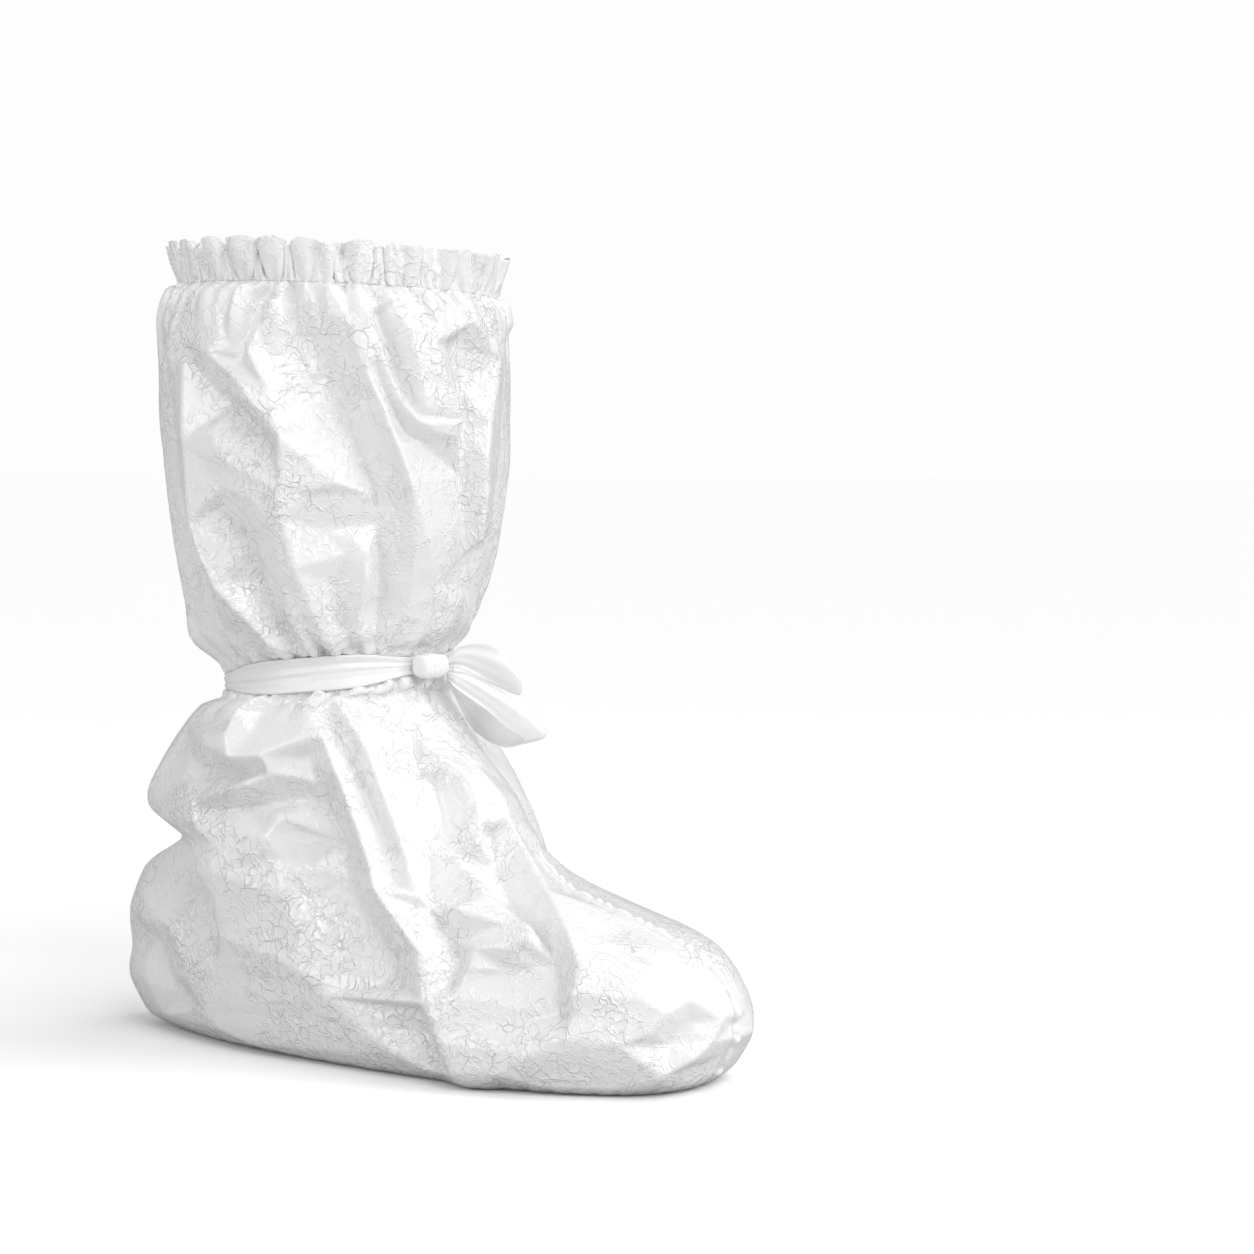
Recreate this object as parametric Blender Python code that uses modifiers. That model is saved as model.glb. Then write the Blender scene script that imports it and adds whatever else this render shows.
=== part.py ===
"""Boot cover: a high overshoe of glossy film, sewn from two side panels, in its worn form.

The toe points along +X, the wearer's outer side is -Y and +Z is up.  The origin is on the
inner face of the sole, straight below the axis of the leg, where the wearer's shoe stands.
Units are metres.
"""

import math
from collections import namedtuple

import bmesh
import bpy
import numpy as np
from mathutils.geometry import delaunay_2d_cdt

# Driving sizes of the bag
FILM = 0.0012
CUFF_LINE_HEIGHT = 0.409
CUFF_DROP = 0.0036
CUFF_NEAR_LIFT = 0.0032
TIE_HEIGHT = 0.2027
TIE_CLIMB = 0.0124
TOE_REACH = 0.258
HEEL_REACH = 0.140
CALF_RADIUS = 0.095
ANKLE_RADIUS = 0.060
SOLE_HALF_WIDTH = 0.066

# Ruffle above the elastic
CUFF_HEIGHT = 0.019
CUFF_THICKNESS = 0.0022
CUFF_FLARE = 0.004
RUFFLE_COUNT = 27
RUFFLE_DEPTH = 0.0030
RUFFLE_LIFT = 0.0022

# Ankle tie, its knot and its bow
TIE_WIDTH = 0.020
TIE_THICKNESS = 0.0014
TIE_BELLY = 0.0008
KNOT_LENGTH = 0.024
KNOT_WIDTH = 0.0145
KNOT_DEPTH = 0.013
KNOT_ROUND = 0.477
UPPER_LOOP_LENGTH = 0.040
LOWER_LOOP_LENGTH = 0.055
LOOP_THICKNESS = 0.0012

# Welt over the seam from the instep to the toe
SEAM_WIDTH = 0.006
SEAM_THICKNESS = 0.0009
SEAM_START = 1.42
SEAM_END = 1.95
SEAM_LIFT = 0.0019
SEAM_STEP = 0.004

# The tie's sheet is laid out in these shares of its half width.
TIE_SHARES = (-1.0, -0.5, 0.0, 0.5, 1.0)
# A subdivided cube shrinks; its cage is this much larger than the knot.
KNOT_CAGE = 1.28

# Bow loops: both hang in an upright plane that is turned from +X about the leg.  Each row of a
# loop's table is a place along the ribbon, with its upper and its lower edge: "along" the
# plane, "up", and "out" of the plane towards the viewer, as shares of the loop's length.
LOOP_TURN = math.radians(34)
LOOP_STEPS = 24
LOOP_SHARES = (0.0, 0.33, 0.67, 1.0)
LoopRow = namedtuple("LoopRow", "name along up out low_along low_up low_out")
UPPER_LOOP_ROWS = (
    LoopRow("front foot", 0.00, 0.10, 0.035, 0.00, -0.02, 0.035),
    LoopRow("front near", 0.20, 0.25, 0.070, 0.22, -0.06, 0.060),
    LoopRow("front middle", 0.50, 0.28, 0.100, 0.53, -0.22, 0.050),
    LoopRow("front far", 0.70, 0.22, 0.080, 0.86, -0.38, 0.030),
    LoopRow("tip", 0.83, 0.08, 0.000, 1.00, -0.42, -0.020),
    LoopRow("back far", 0.68, 0.18, -0.100, 0.85, -0.38, -0.080),
    LoopRow("back middle", 0.48, 0.22, -0.140, 0.53, -0.24, -0.120),
    LoopRow("back near", 0.20, 0.20, -0.100, 0.22, -0.06, -0.090),
    LoopRow("back foot", 0.00, 0.10, -0.040, 0.00, -0.02, -0.040),
)
LOWER_LOOP_ROWS = (
    LoopRow("front foot", 0.03, -0.06, 0.035, 0.03, -0.14, 0.040),
    LoopRow("front near", 0.24, -0.08, 0.110, 0.12, -0.23, 0.110),
    LoopRow("front middle", 0.51, -0.21, 0.130, 0.39, -0.42, 0.150),
    LoopRow("front far", 0.78, -0.37, 0.110, 0.60, -0.60, 0.140),
    LoopRow("tip", 1.00, -0.63, 0.000, 0.80, -0.75, 0.040),
    LoopRow("back far", 0.80, -0.50, -0.120, 0.56, -0.82, -0.160),
    LoopRow("back middle", 0.40, -0.35, -0.280, 0.27, -0.68, -0.400),
    LoopRow("back near", 0.15, -0.18, -0.180, 0.10, -0.36, -0.240),
    LoopRow("back foot", 0.02, -0.10, -0.020, 0.02, -0.17, -0.030),
)
# From the knot's end to the foot of each loop
UPPER_LOOP_CLEAR = 0.0019
LOWER_LOOP_CLEAR = 0.0005

# Running gaps: sewn pieces lie this far apart
GAP = 0.0003
TIE_GAP = 0.0005

# Mesh density
COLUMNS = 40
CUFF_COLUMNS = 135

# Sections of the bag.  "down" is the place down the bag: 0 at the cuff line, 1 at the tie and
# 2 at the edge of the sole; "rings" is how many mesh rings lie from here to the next section.
# Leg: "up" is the share of the way from the tie to the cuff line, and the reaches back, front
# and to the sides are shares of the calf radius.
LegSection = namedtuple("LegSection", "name down up back front side rings")
LEG_SECTIONS = (
    LegSection("cuff line", 0.00, 1.00, 0.915, 0.935, 0.925, 1),
    LegSection("under the cuff", 0.06, 0.94, 0.970, 0.958, 0.970, 2),
    LegSection("upper calf", 0.20, 0.80, 1.010, 0.974, 1.000, 2),
    LegSection("calf", 0.35, 0.65, 1.015, 0.978, 1.000, 2),
    LegSection("mid shaft", 0.50, 0.50, 0.985, 0.965, 0.975, 2),
    LegSection("lower shaft", 0.66, 0.34, 0.935, 0.920, 0.925, 2),
    LegSection("above the tie", 0.80, 0.20, 0.875, 0.815, 0.840, 2),
    LegSection("overhang", 0.90, 0.10, 0.820, 0.740, 0.775, 1),
)

# Neck: "up" is in half tie widths from the tie's middle, the reaches are shares of the ankle
# radius.
NeckSection = namedtuple("NeckSection", "name down up back front side rings")
NECK_SECTIONS = (
    NeckSection("neck top", 0.95, 1.0, 1.08, 1.04, 1.03, 2),
    NeckSection("neck", 1.00, 0.0, 1.00, 1.00, 0.98, 2),
    NeckSection("neck foot", 1.05, -1.0, 1.06, 1.06, 1.02, 1),
)

# Foot: reaches are shares of the heel and toe reach, heights are shares of the tie height,
# near and far are shares of the sole's half width; "square" is the power of the outline and
# "taper" how much wider it is at the toe than at the heel.
FootSection = namedtuple(
    "FootSection", "name down back back_up front front_up near far square taper rings"
)
FOOT_SECTIONS = (
    FootSection("skirt", 1.10, 0.570, 0.905, 0.244, 0.950, 1.03, 1.03, 2.0, 0.0, 1),
    FootSection("upper bulge", 1.17, 0.690, 0.834, 0.302, 0.855, 1.12, 1.10, 2.0, 0.03, 2),
    FootSection("bulge", 1.26, 0.860, 0.665, 0.398, 0.735, 1.17, 1.13, 2.0, 0.05, 2),
    FootSection("heel notch", 1.37, 0.705, 0.562, 0.470, 0.590, 1.13, 1.08, 2.0, 0.08, 2),
    FootSection("upper heel", 1.47, 0.880, 0.454, 0.558, 0.488, 1.12, 1.02, 2.05, 0.14, 2),
    FootSection("heel", 1.58, 0.992, 0.320, 0.738, 0.412, 1.10, 0.98, 2.1, 0.22, 2),
    FootSection("low heel", 1.68, 0.985, 0.222, 0.897, 0.342, 1.10, 0.97, 2.2, 0.30, 2),
    FootSection("toe", 1.78, 1.010, 0.148, 0.978, 0.228, 1.10, 0.97, 2.3, 0.36, 2),
    FootSection("lower edge", 1.89, 0.945, 0.064, 0.972, 0.108, 1.06, 0.97, 2.4, 0.42, 2),
    FootSection("sole edge", 2.00, 0.850, 0.000, 0.925, 0.000, 0.97, 0.91, 2.4, 0.50, 0),
)
BALL_SHARE = 0.5

# Rings that close the sole: its inner rings as shares of its width and length.
SoleRing = namedtuple("SoleRing", "width length")
SOLE_RINGS = (SoleRing(0.72, 0.97), SoleRing(0.38, 0.94))
SOLE_LINE_LENGTH = 0.90

# Folds of the film.  "round" goes from the back (0) by the near side (0.25) to the front (0.5)
# and by the far side (0.75) to the back; "out" is how far the fold stands out of (or dips
# into) the bag, in fold depths.
FOLD_DEPTH = 0.007
FLAT_SHARE = 0.6
Fold = namedtuple("Fold", "name stations")
Station = namedtuple("Station", "round down out")


def fold(name, *stations):
    return Fold(name, [Station(*station) for station in stations])


FOLDS = (
    # Shaft, near side
    fold("back edge of the shaft", (0.205, 0.2, 0.2), (0.207, 0.4, 0.4), (0.21, 0.6, 0.7),
        (0.223, 0.67, 0.9), (0.24, 0.75, 1.1), (0.265, 0.83, 1), (0.29, 0.9, 0.8), (0.308, 0.94, 0.4)),
    fold("hollow beside the back edge", (0.235, 0.57, -0.3), (0.262, 0.66, -0.8), (0.272, 0.76, -0.9),
        (0.293, 0.84, -0.8), (0.308, 0.91, -0.4)),
    fold("inner back ridge", (0.25, 0.51, 0.2), (0.285, 0.55, 0.5), (0.302, 0.64, 0.6),
        (0.307, 0.75, 0.6), (0.315, 0.86, 0.5), (0.322, 0.93, 0.2)),
    fold("near ridge", (0.3, 0.06, 0.3), (0.286, 0.18, 0.6), (0.304, 0.28, 0.7), (0.314, 0.39, 1),
        (0.311, 0.52, 0.9), (0.313, 0.6, 0.9), (0.322, 0.71, 0.9), (0.334, 0.81, 0.7),
        (0.352, 0.91, 0.4)),
    fold("slanting ridge", (0.215, 0.16, 0.3), (0.245, 0.185, 0.5), (0.27, 0.235, 0.6),
        (0.287, 0.3, 0.7), (0.314, 0.39, 1)),
    fold("slanting hollow", (0.215, 0.205, -0.2), (0.235, 0.265, -0.7), (0.26, 0.315, -0.9),
        (0.285, 0.37, -0.8), (0.302, 0.405, -0.3)),
    fold("patch below the hollow", (0.24, 0.38, 0.2), (0.262, 0.45, 0.4)),
    fold("cuff lobe", (0.27, 0.04, 0.5), (0.27, 0.1, 0.6), (0.266, 0.185, 0.4)),
    fold("valley by the cuff lobe", (0.284, 0.05, -0.5), (0.281, 0.12, -0.5), (0.276, 0.205, -0.1)),
    fold("back cuff lobe", (0.205, 0.05, 0.4), (0.19, 0.12, 0.5), (0.183, 0.2, 0.3)),
    fold("long valley", (0.325, 0.05, -0.5), (0.333, 0.13, -0.9), (0.35, 0.2, -1), (0.363, 0.29, -1),
        (0.378, 0.4, -1), (0.395, 0.52, -0.9), (0.4, 0.62, -0.8), (0.404, 0.72, -0.7),
        (0.407, 0.82, -0.6), (0.412, 0.92, -0.3)),
    fold("long ridge", (0.355, 0.03, 0.4), (0.372, 0.11, 0.8), (0.384, 0.22, 1), (0.396, 0.305, 1),
        (0.409, 0.41, 1), (0.42, 0.5, 1), (0.432, 0.58, 0.8), (0.442, 0.65, 0.7), (0.455, 0.72, 0.6),
        (0.465, 0.78, 0.5), (0.475, 0.85, 0.3)),
    fold("shin ridge", (0.42, 0.5, 1), (0.426, 0.62, 0.6), (0.434, 0.74, 0.6), (0.438, 0.85, 0.5),
        (0.435, 0.93, 0.3)),
    fold("pouch ridge", (0.385, 0.08, 0.7), (0.396, 0.16, 0.8), (0.406, 0.24, 0.8), (0.417, 0.31, 0.8),
        (0.43, 0.35, 0.8), (0.443, 0.375, 0.5)),
    fold("pouch edge", (0.392, 0.21, 0.4), (0.403, 0.29, 0.1), (0.415, 0.345, -0.2),
        (0.427, 0.39, -0.5), (0.442, 0.41, -0.4)),
    fold("pouch hollow", (0.396, 0.08, 0), (0.405, 0.15, -0.3), (0.411, 0.22, -0.5),
        (0.421, 0.28, -0.5), (0.434, 0.335, -0.2)),
    fold("front ridge", (0.413, 0.04, 0.4), (0.421, 0.11, 0.7), (0.427, 0.18, 0.7), (0.432, 0.26, 0.5),
        (0.438, 0.32, 0.3)),
    fold("outer front ridge", (0.437, 0.05, 0.3), (0.445, 0.15, 0.6), (0.453, 0.21, 0.7),
        (0.466, 0.29, 0.6), (0.478, 0.35, 0.4), (0.476, 0.4, 0.1)),
    fold("front cuff lobe", (0.46, 0.03, 0.3), (0.49, 0.09, 0.6)),
    fold("front hollow", (0.47, 0.15, -0.3), (0.485, 0.25, -0.6), (0.495, 0.38, -0.8),
        (0.497, 0.5, -0.8), (0.503, 0.62, -0.7), (0.51, 0.72, -0.5), (0.52, 0.79, -0.3)),
    fold("front edge ridge", (0.54, 0.18, 0.3), (0.528, 0.26, 0.5), (0.515, 0.35, 0.5),
        (0.509, 0.45, 0.6), (0.514, 0.55, 0.6), (0.52, 0.66, 0.3)),
    fold("low front ridge", (0.515, 0.8, 0.4), (0.502, 0.84, 0.6), (0.497, 0.89, 0.5),
        (0.492, 0.94, 0.2)),
    fold("facet lip", (0.313, 0.6, 0.9), (0.328, 0.535, 0.5), (0.36, 0.51, 0.4), (0.39, 0.54, -0.4)),
    fold("facet foot", (0.325, 0.61, 0.1), (0.345, 0.64, -0.4), (0.375, 0.66, -0.4)),
    fold("low facet", (0.387, 0.7, 0.2), (0.389, 0.75, 0.5), (0.386, 0.81, 0.5), (0.385, 0.9, 0.3)),
    fold("low hollow", (0.368, 0.7, -0.3), (0.36, 0.78, -0.4), (0.364, 0.88, -0.3)),
    # Shaft, back
    fold("back ridge", (0.05, 0.1, 0.2), (0.06, 0.4, 0.2), (0.05, 0.7, 0.3), (0.06, 0.92, 0.1)),
    fold("back hollow", (0.09, 0.12, -0.3), (0.1, 0.4, -0.5), (0.09, 0.75, -0.5)),
    fold("near back ridge", (0.14, 0.1, 0.2), (0.135, 0.35, 0), (0.145, 0.6, 0.1), (0.15, 0.88, 0.5)),
    fold("near back hollow", (0.175, 0.25, -0.2), (0.175, 0.5, -0.3), (0.19, 0.72, -0.5),
        (0.22, 0.88, -0.4)),
    # Shaft, far side
    fold("far shin ridge", (0.6, 0.08, 0), (0.61, 0.25, 0.1), (0.6, 0.45, 0.1), (0.585, 0.65, 0.1),
        (0.57, 0.9, 0.1)),
    fold("far shin hollow", (0.57, 0.15, -0.2), (0.56, 0.4, -0.3), (0.55, 0.65, -0.3)),
    fold("far front ridge", (0.66, 0.06, 0.5), (0.68, 0.3, 0.9), (0.665, 0.55, 1), (0.64, 0.78, 0.8),
        (0.63, 0.92, 0.3)),
    fold("far front hollow", (0.635, 0.12, -0.5), (0.645, 0.35, -0.9), (0.63, 0.6, -0.8),
        (0.605, 0.85, -0.4)),
    fold("far ridge", (0.73, 0.06, 0.4), (0.735, 0.22, 0.7), (0.745, 0.42, 1), (0.72, 0.65, 0.9),
        (0.7, 0.9, 0.5)),
    fold("far hollow", (0.7, 0.14, -0.6), (0.712, 0.35, -0.8), (0.695, 0.6, -0.7), (0.67, 0.85, -0.4)),
    fold("far back ridge", (0.8, 0.05, 0.4), (0.8, 0.25, 0.8), (0.79, 0.5, 0.9), (0.775, 0.75, 0.7),
        (0.77, 0.92, 0.3)),
    fold("far back hollow", (0.77, 0.12, -0.4), (0.775, 0.35, -0.8), (0.755, 0.6, -0.8),
        (0.74, 0.85, -0.5)),
    fold("far heel-side ridge", (0.87, 0.08, 0.3), (0.865, 0.35, 0.7), (0.85, 0.6, 0.9),
        (0.84, 0.85, 0.6)),
    fold("far heel-side hollow", (0.84, 0.15, -0.5), (0.832, 0.4, -0.7), (0.815, 0.68, -0.6),
        (0.81, 0.88, -0.3)),
    fold("far outer back ridge", (0.93, 0.1, 0.3), (0.935, 0.45, 0.6), (0.925, 0.8, 0.5)),
    fold("far outer back hollow", (0.9, 0.15, -0.3), (0.905, 0.45, -0.6), (0.885, 0.75, -0.5)),
    # Foot, near side
    fold("wedge under the tie", (0.262, 1.075, 0.4), (0.252, 1.12, 0.8), (0.248, 1.165, 1),
        (0.256, 1.203, 1)),
    fold("hollow beside the wedge", (0.276, 1.075, -0.6), (0.274, 1.12, -0.4), (0.272, 1.16, 0.1)),
    fold("hollow behind the wedge", (0.238, 1.075, -0.5), (0.23, 1.13, -0.3)),
    fold("pouch lip", (0.195, 1.17, 0.3), (0.222, 1.187, 0.7), (0.256, 1.203, 1), (0.285, 1.2, 0.9),
        (0.318, 1.18, 0.8), (0.337, 1.135, 0.5)),
    fold("hollow below the pouch", (0.185, 1.205, -0.5), (0.22, 1.225, -1), (0.255, 1.23, -0.9),
        (0.282, 1.222, -0.3)),
    fold("brow", (0.212, 1.275, 0.6), (0.24, 1.257, 0.9), (0.264, 1.243, 0.9), (0.29, 1.226, 0.5)),
    fold("hollow below the brow", (0.218, 1.292, -0.1), (0.245, 1.293, -0.8), (0.275, 1.283, -0.9),
        (0.305, 1.26, -0.9), (0.33, 1.235, -0.6)),
    fold("flap edge", (0.212, 1.275, 0.6), (0.203, 1.315, 0.9), (0.206, 1.37, 1), (0.216, 1.445, 1.2),
        (0.213, 1.5, 1), (0.204, 1.6, 0.8), (0.187, 1.7, 0.6), (0.173, 1.845, 0.5), (0.182, 1.9, 0.5),
        (0.2, 1.945, 0.4)),
    fold("flap crease", (0.216, 1.445, 1.2), (0.24, 1.39, 0.8), (0.262, 1.345, 0.6),
        (0.285, 1.305, 0.3)),
    fold("point ridge", (0.267, 1.4, 0.3), (0.266, 1.5, 0.5), (0.257, 1.61, 0.6), (0.243, 1.69, 0.9)),
    fold("point hollow", (0.287, 1.34, -0.3), (0.284, 1.42, -0.7), (0.28, 1.5, -0.8), (0.27, 1.6, -0.6),
        (0.254, 1.68, -0.1)),
    fold("ridge from the point", (0.243, 1.69, 0.9), (0.25, 1.765, 0.6), (0.26, 1.84, 0.4),
        (0.275, 1.905, 0.4), (0.288, 1.955, 0.2)),
    fold("bulge lip", (0.05, 1.29, 0.4), (0.1, 1.29, 0.5), (0.14, 1.3, 0.7), (0.158, 1.36, 0.8),
        (0.18, 1.405, 0.9), (0.198, 1.45, 1), (0.213, 1.5, 1)),
    fold("hollow below the bulge", (0.05, 1.4, -0.3), (0.1, 1.39, -0.4), (0.145, 1.41, -0.9),
        (0.172, 1.46, -1.2), (0.19, 1.52, -1.1), (0.196, 1.6, -0.6)),
    fold("bulge crease", (0.14, 1.15, -0.2), (0.165, 1.18, -0.5), (0.182, 1.24, -0.3)),
    fold("heel ridge", (0.15, 1.6, 0.3), (0.155, 1.68, 0.5), (0.163, 1.76, 0.5), (0.173, 1.845, 0.5)),
    fold("heel hollow", (0.125, 1.66, -0.1), (0.135, 1.76, -0.3), (0.155, 1.83, -0.3)),
    fold("heel back", (0.045, 1.49, 0.5), (0.05, 1.58, 0.5), (0.05, 1.68, 0.5), (0.055, 1.8, 0.4),
        (0.06, 1.93, 0.3)),
    fold("heel pucker", (0.105, 1.7, 0.3), (0.112, 1.8, 0.4), (0.118, 1.9, 0.3)),
    fold("side ridge", (0.337, 1.135, 0.5), (0.346, 1.17, 0.9), (0.35, 1.24, 1.2), (0.346, 1.32, 1.2),
        (0.34, 1.42, 1.1), (0.332, 1.49, 1), (0.323, 1.57, 1), (0.312, 1.65, 1), (0.297, 1.765, 1)),
    fold("side hollow", (0.325, 1.2, -0.3), (0.325, 1.28, -0.9), (0.321, 1.36, -0.9),
        (0.313, 1.45, -0.8), (0.302, 1.55, -0.8), (0.288, 1.65, -0.7), (0.28, 1.73, -0.4)),
    fold("crease beside the side ridge", (0.355, 1.13, -0.2), (0.366, 1.2, -0.3), (0.365, 1.28, -0.3),
        (0.36, 1.36, -0.2), (0.351, 1.45, 0)),
    fold("tongue ridge", (0.362, 1.09, 0.3), (0.376, 1.15, 0.7), (0.381, 1.21, 0.8), (0.378, 1.27, 0.8),
        (0.373, 1.34, 0.7), (0.369, 1.42, 0.6), (0.36, 1.49, 0.3)),
    fold("knot valley", (0.465, 1.08, -0.3), (0.45, 1.15, -0.5), (0.43, 1.22, -0.7), (0.41, 1.29, -0.8),
        (0.395, 1.36, -0.9), (0.377, 1.44, -0.9), (0.36, 1.51, -0.8), (0.344, 1.58, -0.7),
        (0.326, 1.66, -0.6), (0.309, 1.74, -0.2)),
    fold("wedge ridge", (0.446, 1.2, 0.1), (0.457, 1.24, 0.6), (0.457, 1.29, 0.8), (0.448, 1.34, 0.7),
        (0.44, 1.38, 0.4)),
    fold("wedge hollow", (0.44, 1.245, -0.8), (0.428, 1.31, -0.8), (0.417, 1.38, -0.6)),
    fold("instep ridge", (0.487, 1.23, 0.3), (0.486, 1.29, 0.8), (0.48, 1.35, 1), (0.474, 1.41, 1.1),
        (0.462, 1.48, 1.1), (0.442, 1.53, 1), (0.423, 1.58, 0.9), (0.408, 1.625, 0.9),
        (0.392, 1.69, 0.8), (0.377, 1.745, 0.7), (0.372, 1.79, 0.3)),
    fold("instep hollow", (0.463, 1.35, -0.2), (0.452, 1.42, -0.5), (0.43, 1.5, -0.6),
        (0.41, 1.57, -0.7), (0.385, 1.655, -0.8), (0.37, 1.73, -0.8), (0.364, 1.785, -0.4)),
    fold("triangle top", (0.367, 1.53, 0.4), (0.376, 1.563, 0.5), (0.381, 1.59, 0.6),
        (0.392, 1.612, 0.9)),
    fold("triangle crest", (0.392, 1.612, 0.9), (0.4, 1.56, 0.5), (0.408, 1.5, 0.4),
        (0.415, 1.44, 0.2)),
    fold("triangle foot", (0.342, 1.64, 0.3), (0.362, 1.647, 0.5), (0.378, 1.642, 0.7),
        (0.392, 1.612, 0.9)),
    fold("band below the triangle", (0.333, 1.7, -0.3), (0.347, 1.687, -0.5), (0.364, 1.68, -0.6)),
    fold("short edge", (0.342, 1.64, 0.3), (0.327, 1.69, 0.4), (0.311, 1.745, 0.6), (0.297, 1.765, 1)),
    fold("spear ridge", (0.297, 1.765, 1), (0.299, 1.85, 1), (0.304, 1.92, 1.1), (0.312, 1.98, 0.9)),
    fold("spear lower edge", (0.312, 1.98, 0.9), (0.33, 1.925, 0.8), (0.348, 1.875, 0.7),
        (0.366, 1.835, 0.6)),
    fold("spear hollow", (0.285, 1.79, -0.4), (0.287, 1.86, -0.7), (0.292, 1.925, -0.5)),
    fold("toe crest", (0.484, 1.765, 0.4), (0.48, 1.81, 0.6), (0.47, 1.85, 0.6), (0.455, 1.885, 0.7),
        (0.436, 1.92, 0.6)),
    fold("toe crease", (0.433, 1.79, 0.6), (0.455, 1.767, 0.5), (0.484, 1.765, 0.4)),
    fold("ball edge", (0.43, 1.63, 0.2), (0.415, 1.705, 0.4), (0.421, 1.76, 0.5), (0.433, 1.79, 0.6)),
    fold("ball lower edge", (0.433, 1.79, 0.6), (0.42, 1.825, 0.5), (0.4, 1.85, 0.5),
        (0.378, 1.84, 0.5)),
    fold("toe hollow", (0.452, 1.81, -0.2), (0.437, 1.86, -0.3)),
    # Foot, far side
    fold("far instep swell", (0.533, 1.44, -0.2), (0.537, 1.52, -0.2), (0.533, 1.62, 0), (0.527, 1.7, 0.2),
        (0.516, 1.78, 0.2)),
    fold("far shin edge", (0.53, 1.1, -0.1), (0.535, 1.2, -0.2), (0.543, 1.3, 0), (0.552, 1.4, -0.1)),
    fold("far instep ridge", (0.575, 1.46, 0.1), (0.59, 1.54, 0.3), (0.6, 1.64, 0.6),
        (0.615, 1.76, 0.5)),
    fold("far instep hollow", (0.57, 1.12, -0.4), (0.575, 1.23, -0.7), (0.585, 1.35, -0.8),
        (0.605, 1.46, -0.7), (0.622, 1.56, -0.5)),
    fold("far side ridge", (0.61, 1.08, 0.4), (0.617, 1.2, 0.9), (0.627, 1.35, 1.1), (0.645, 1.5, 1),
        (0.667, 1.64, 0.9), (0.69, 1.8, 0.6)),
    fold("far side hollow", (0.65, 1.1, -0.4), (0.655, 1.24, -0.8), (0.668, 1.38, -0.8),
        (0.69, 1.52, -0.7), (0.71, 1.66, -0.4)),
    fold("far flap edge", (0.69, 1.08, 0.4), (0.7, 1.18, 0.8), (0.706, 1.3, 0.9), (0.72, 1.42, 0.8),
        (0.74, 1.56, 0.9), (0.75, 1.72, 0.7), (0.742, 1.88, 0.4)),
    fold("far flap hollow", (0.735, 1.12, -0.4), (0.742, 1.22, -0.7), (0.755, 1.36, -0.7),
        (0.776, 1.5, -0.8), (0.79, 1.64, -0.5)),
    fold("far pouch lip", (0.78, 1.16, 0.5), (0.81, 1.2, 0.9), (0.85, 1.22, 0.9), (0.9, 1.24, 0.7),
        (0.95, 1.28, 0.6)),
    fold("far pouch hollow", (0.785, 1.25, -0.5), (0.83, 1.285, -0.9), (0.88, 1.32, -0.8)),
    fold("far heel ridge", (0.79, 1.34, 0.5), (0.812, 1.4, 0.9), (0.82, 1.5, 1), (0.82, 1.64, 0.8),
        (0.83, 1.8, 0.5)),
    fold("far heel hollow", (0.85, 1.4, -0.7), (0.9, 1.39, -0.7), (0.945, 1.4, -0.4)),
    fold("far heel back", (0.955, 1.5, 0.3), (0.95, 1.6, 0.4), (0.95, 1.75, 0.3), (0.945, 1.9, 0.2)),
    fold("far low heel ridge", (0.86, 1.5, 0.2), (0.87, 1.62, 0.6), (0.865, 1.76, 0.5),
        (0.87, 1.88, 0.3)),
    fold("far toe fold", (0.522, 1.81, 0.2), (0.533, 1.86, 0.5), (0.56, 1.9, 0.5)),
    fold("far ball fold", (0.56, 1.7, 0.5), (0.57, 1.78, 0.5), (0.59, 1.88, 0.3)),
)
PLAIN_DOWNS = (0.0, 0.95, 1.0, 1.05, 2.0)
BACK_SEAM_DOWNS = (0.2, 0.4, 0.6, 0.8, 1.15, 1.26, 1.37, 1.5, 1.65, 1.8, 1.9)
FRONT_SEAM_DOWNS = (1.15, 1.4, 1.5, 1.6, 1.7, 1.83, 1.9)
PLAIN_STATIONS = 24

# Gathers where the elastic and the tie draw the film together
GATHER_COUNT = 10
CUFF_GATHER_DEPTH = 0.0022
TIE_GATHER_DEPTH = 0.0030
CUFF_GATHER_REACH = 0.20
TIE_GATHER_REACH = 0.14


def clear_scene():
    for old in list(bpy.data.objects):
        bpy.data.objects.remove(old, do_unlink=True)


def new_collection(name):
    collection = bpy.data.collections.new(name)
    bpy.context.scene.collection.children.link(collection)
    return collection


def film_material(name, colour, roughness):
    material = bpy.data.materials.new(name)
    material.use_nodes = True
    shader = material.node_tree.nodes["Principled BSDF"]
    shader.inputs["Base Color"].default_value = (*colour, 1.0)
    shader.inputs["Roughness"].default_value = roughness
    shader.inputs["Metallic"].default_value = 0.0
    return material


# Smooth form of the bag


def leg_row(section):
    """Back and front x, back and front z, half widths, squareness, taper, lift of the near side."""
    rise = CUFF_LINE_HEIGHT - TIE_HEIGHT
    height = TIE_HEIGHT + section.up * rise
    climb = (TIE_CLIMB * (1 - section.up) - CUFF_DROP * section.up) / 2
    side = section.side * CALF_RADIUS
    back = -section.back * CALF_RADIUS
    front = section.front * CALF_RADIUS
    lift = CUFF_NEAR_LIFT * section.up
    return (back, front, height - climb, height + climb, side, side, 2.0, 0.0, lift)


def neck_row(section):
    height = TIE_HEIGHT + section.up * TIE_WIDTH / 2
    side = section.side * ANKLE_RADIUS
    back = -section.back * ANKLE_RADIUS
    front = section.front * ANKLE_RADIUS
    climb = TIE_CLIMB / 2
    return (back, front, height - climb, height + climb, side, side, 2.0, 0.0, 0.0)


def foot_row(section):
    return (
        -section.back * HEEL_REACH,
        section.front * TOE_REACH,
        section.back_up * TIE_HEIGHT,
        section.front_up * TIE_HEIGHT,
        section.near * SOLE_HALF_WIDTH,
        section.far * SOLE_HALF_WIDTH,
        section.square,
        section.taper,
        0.0,
    )


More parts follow.
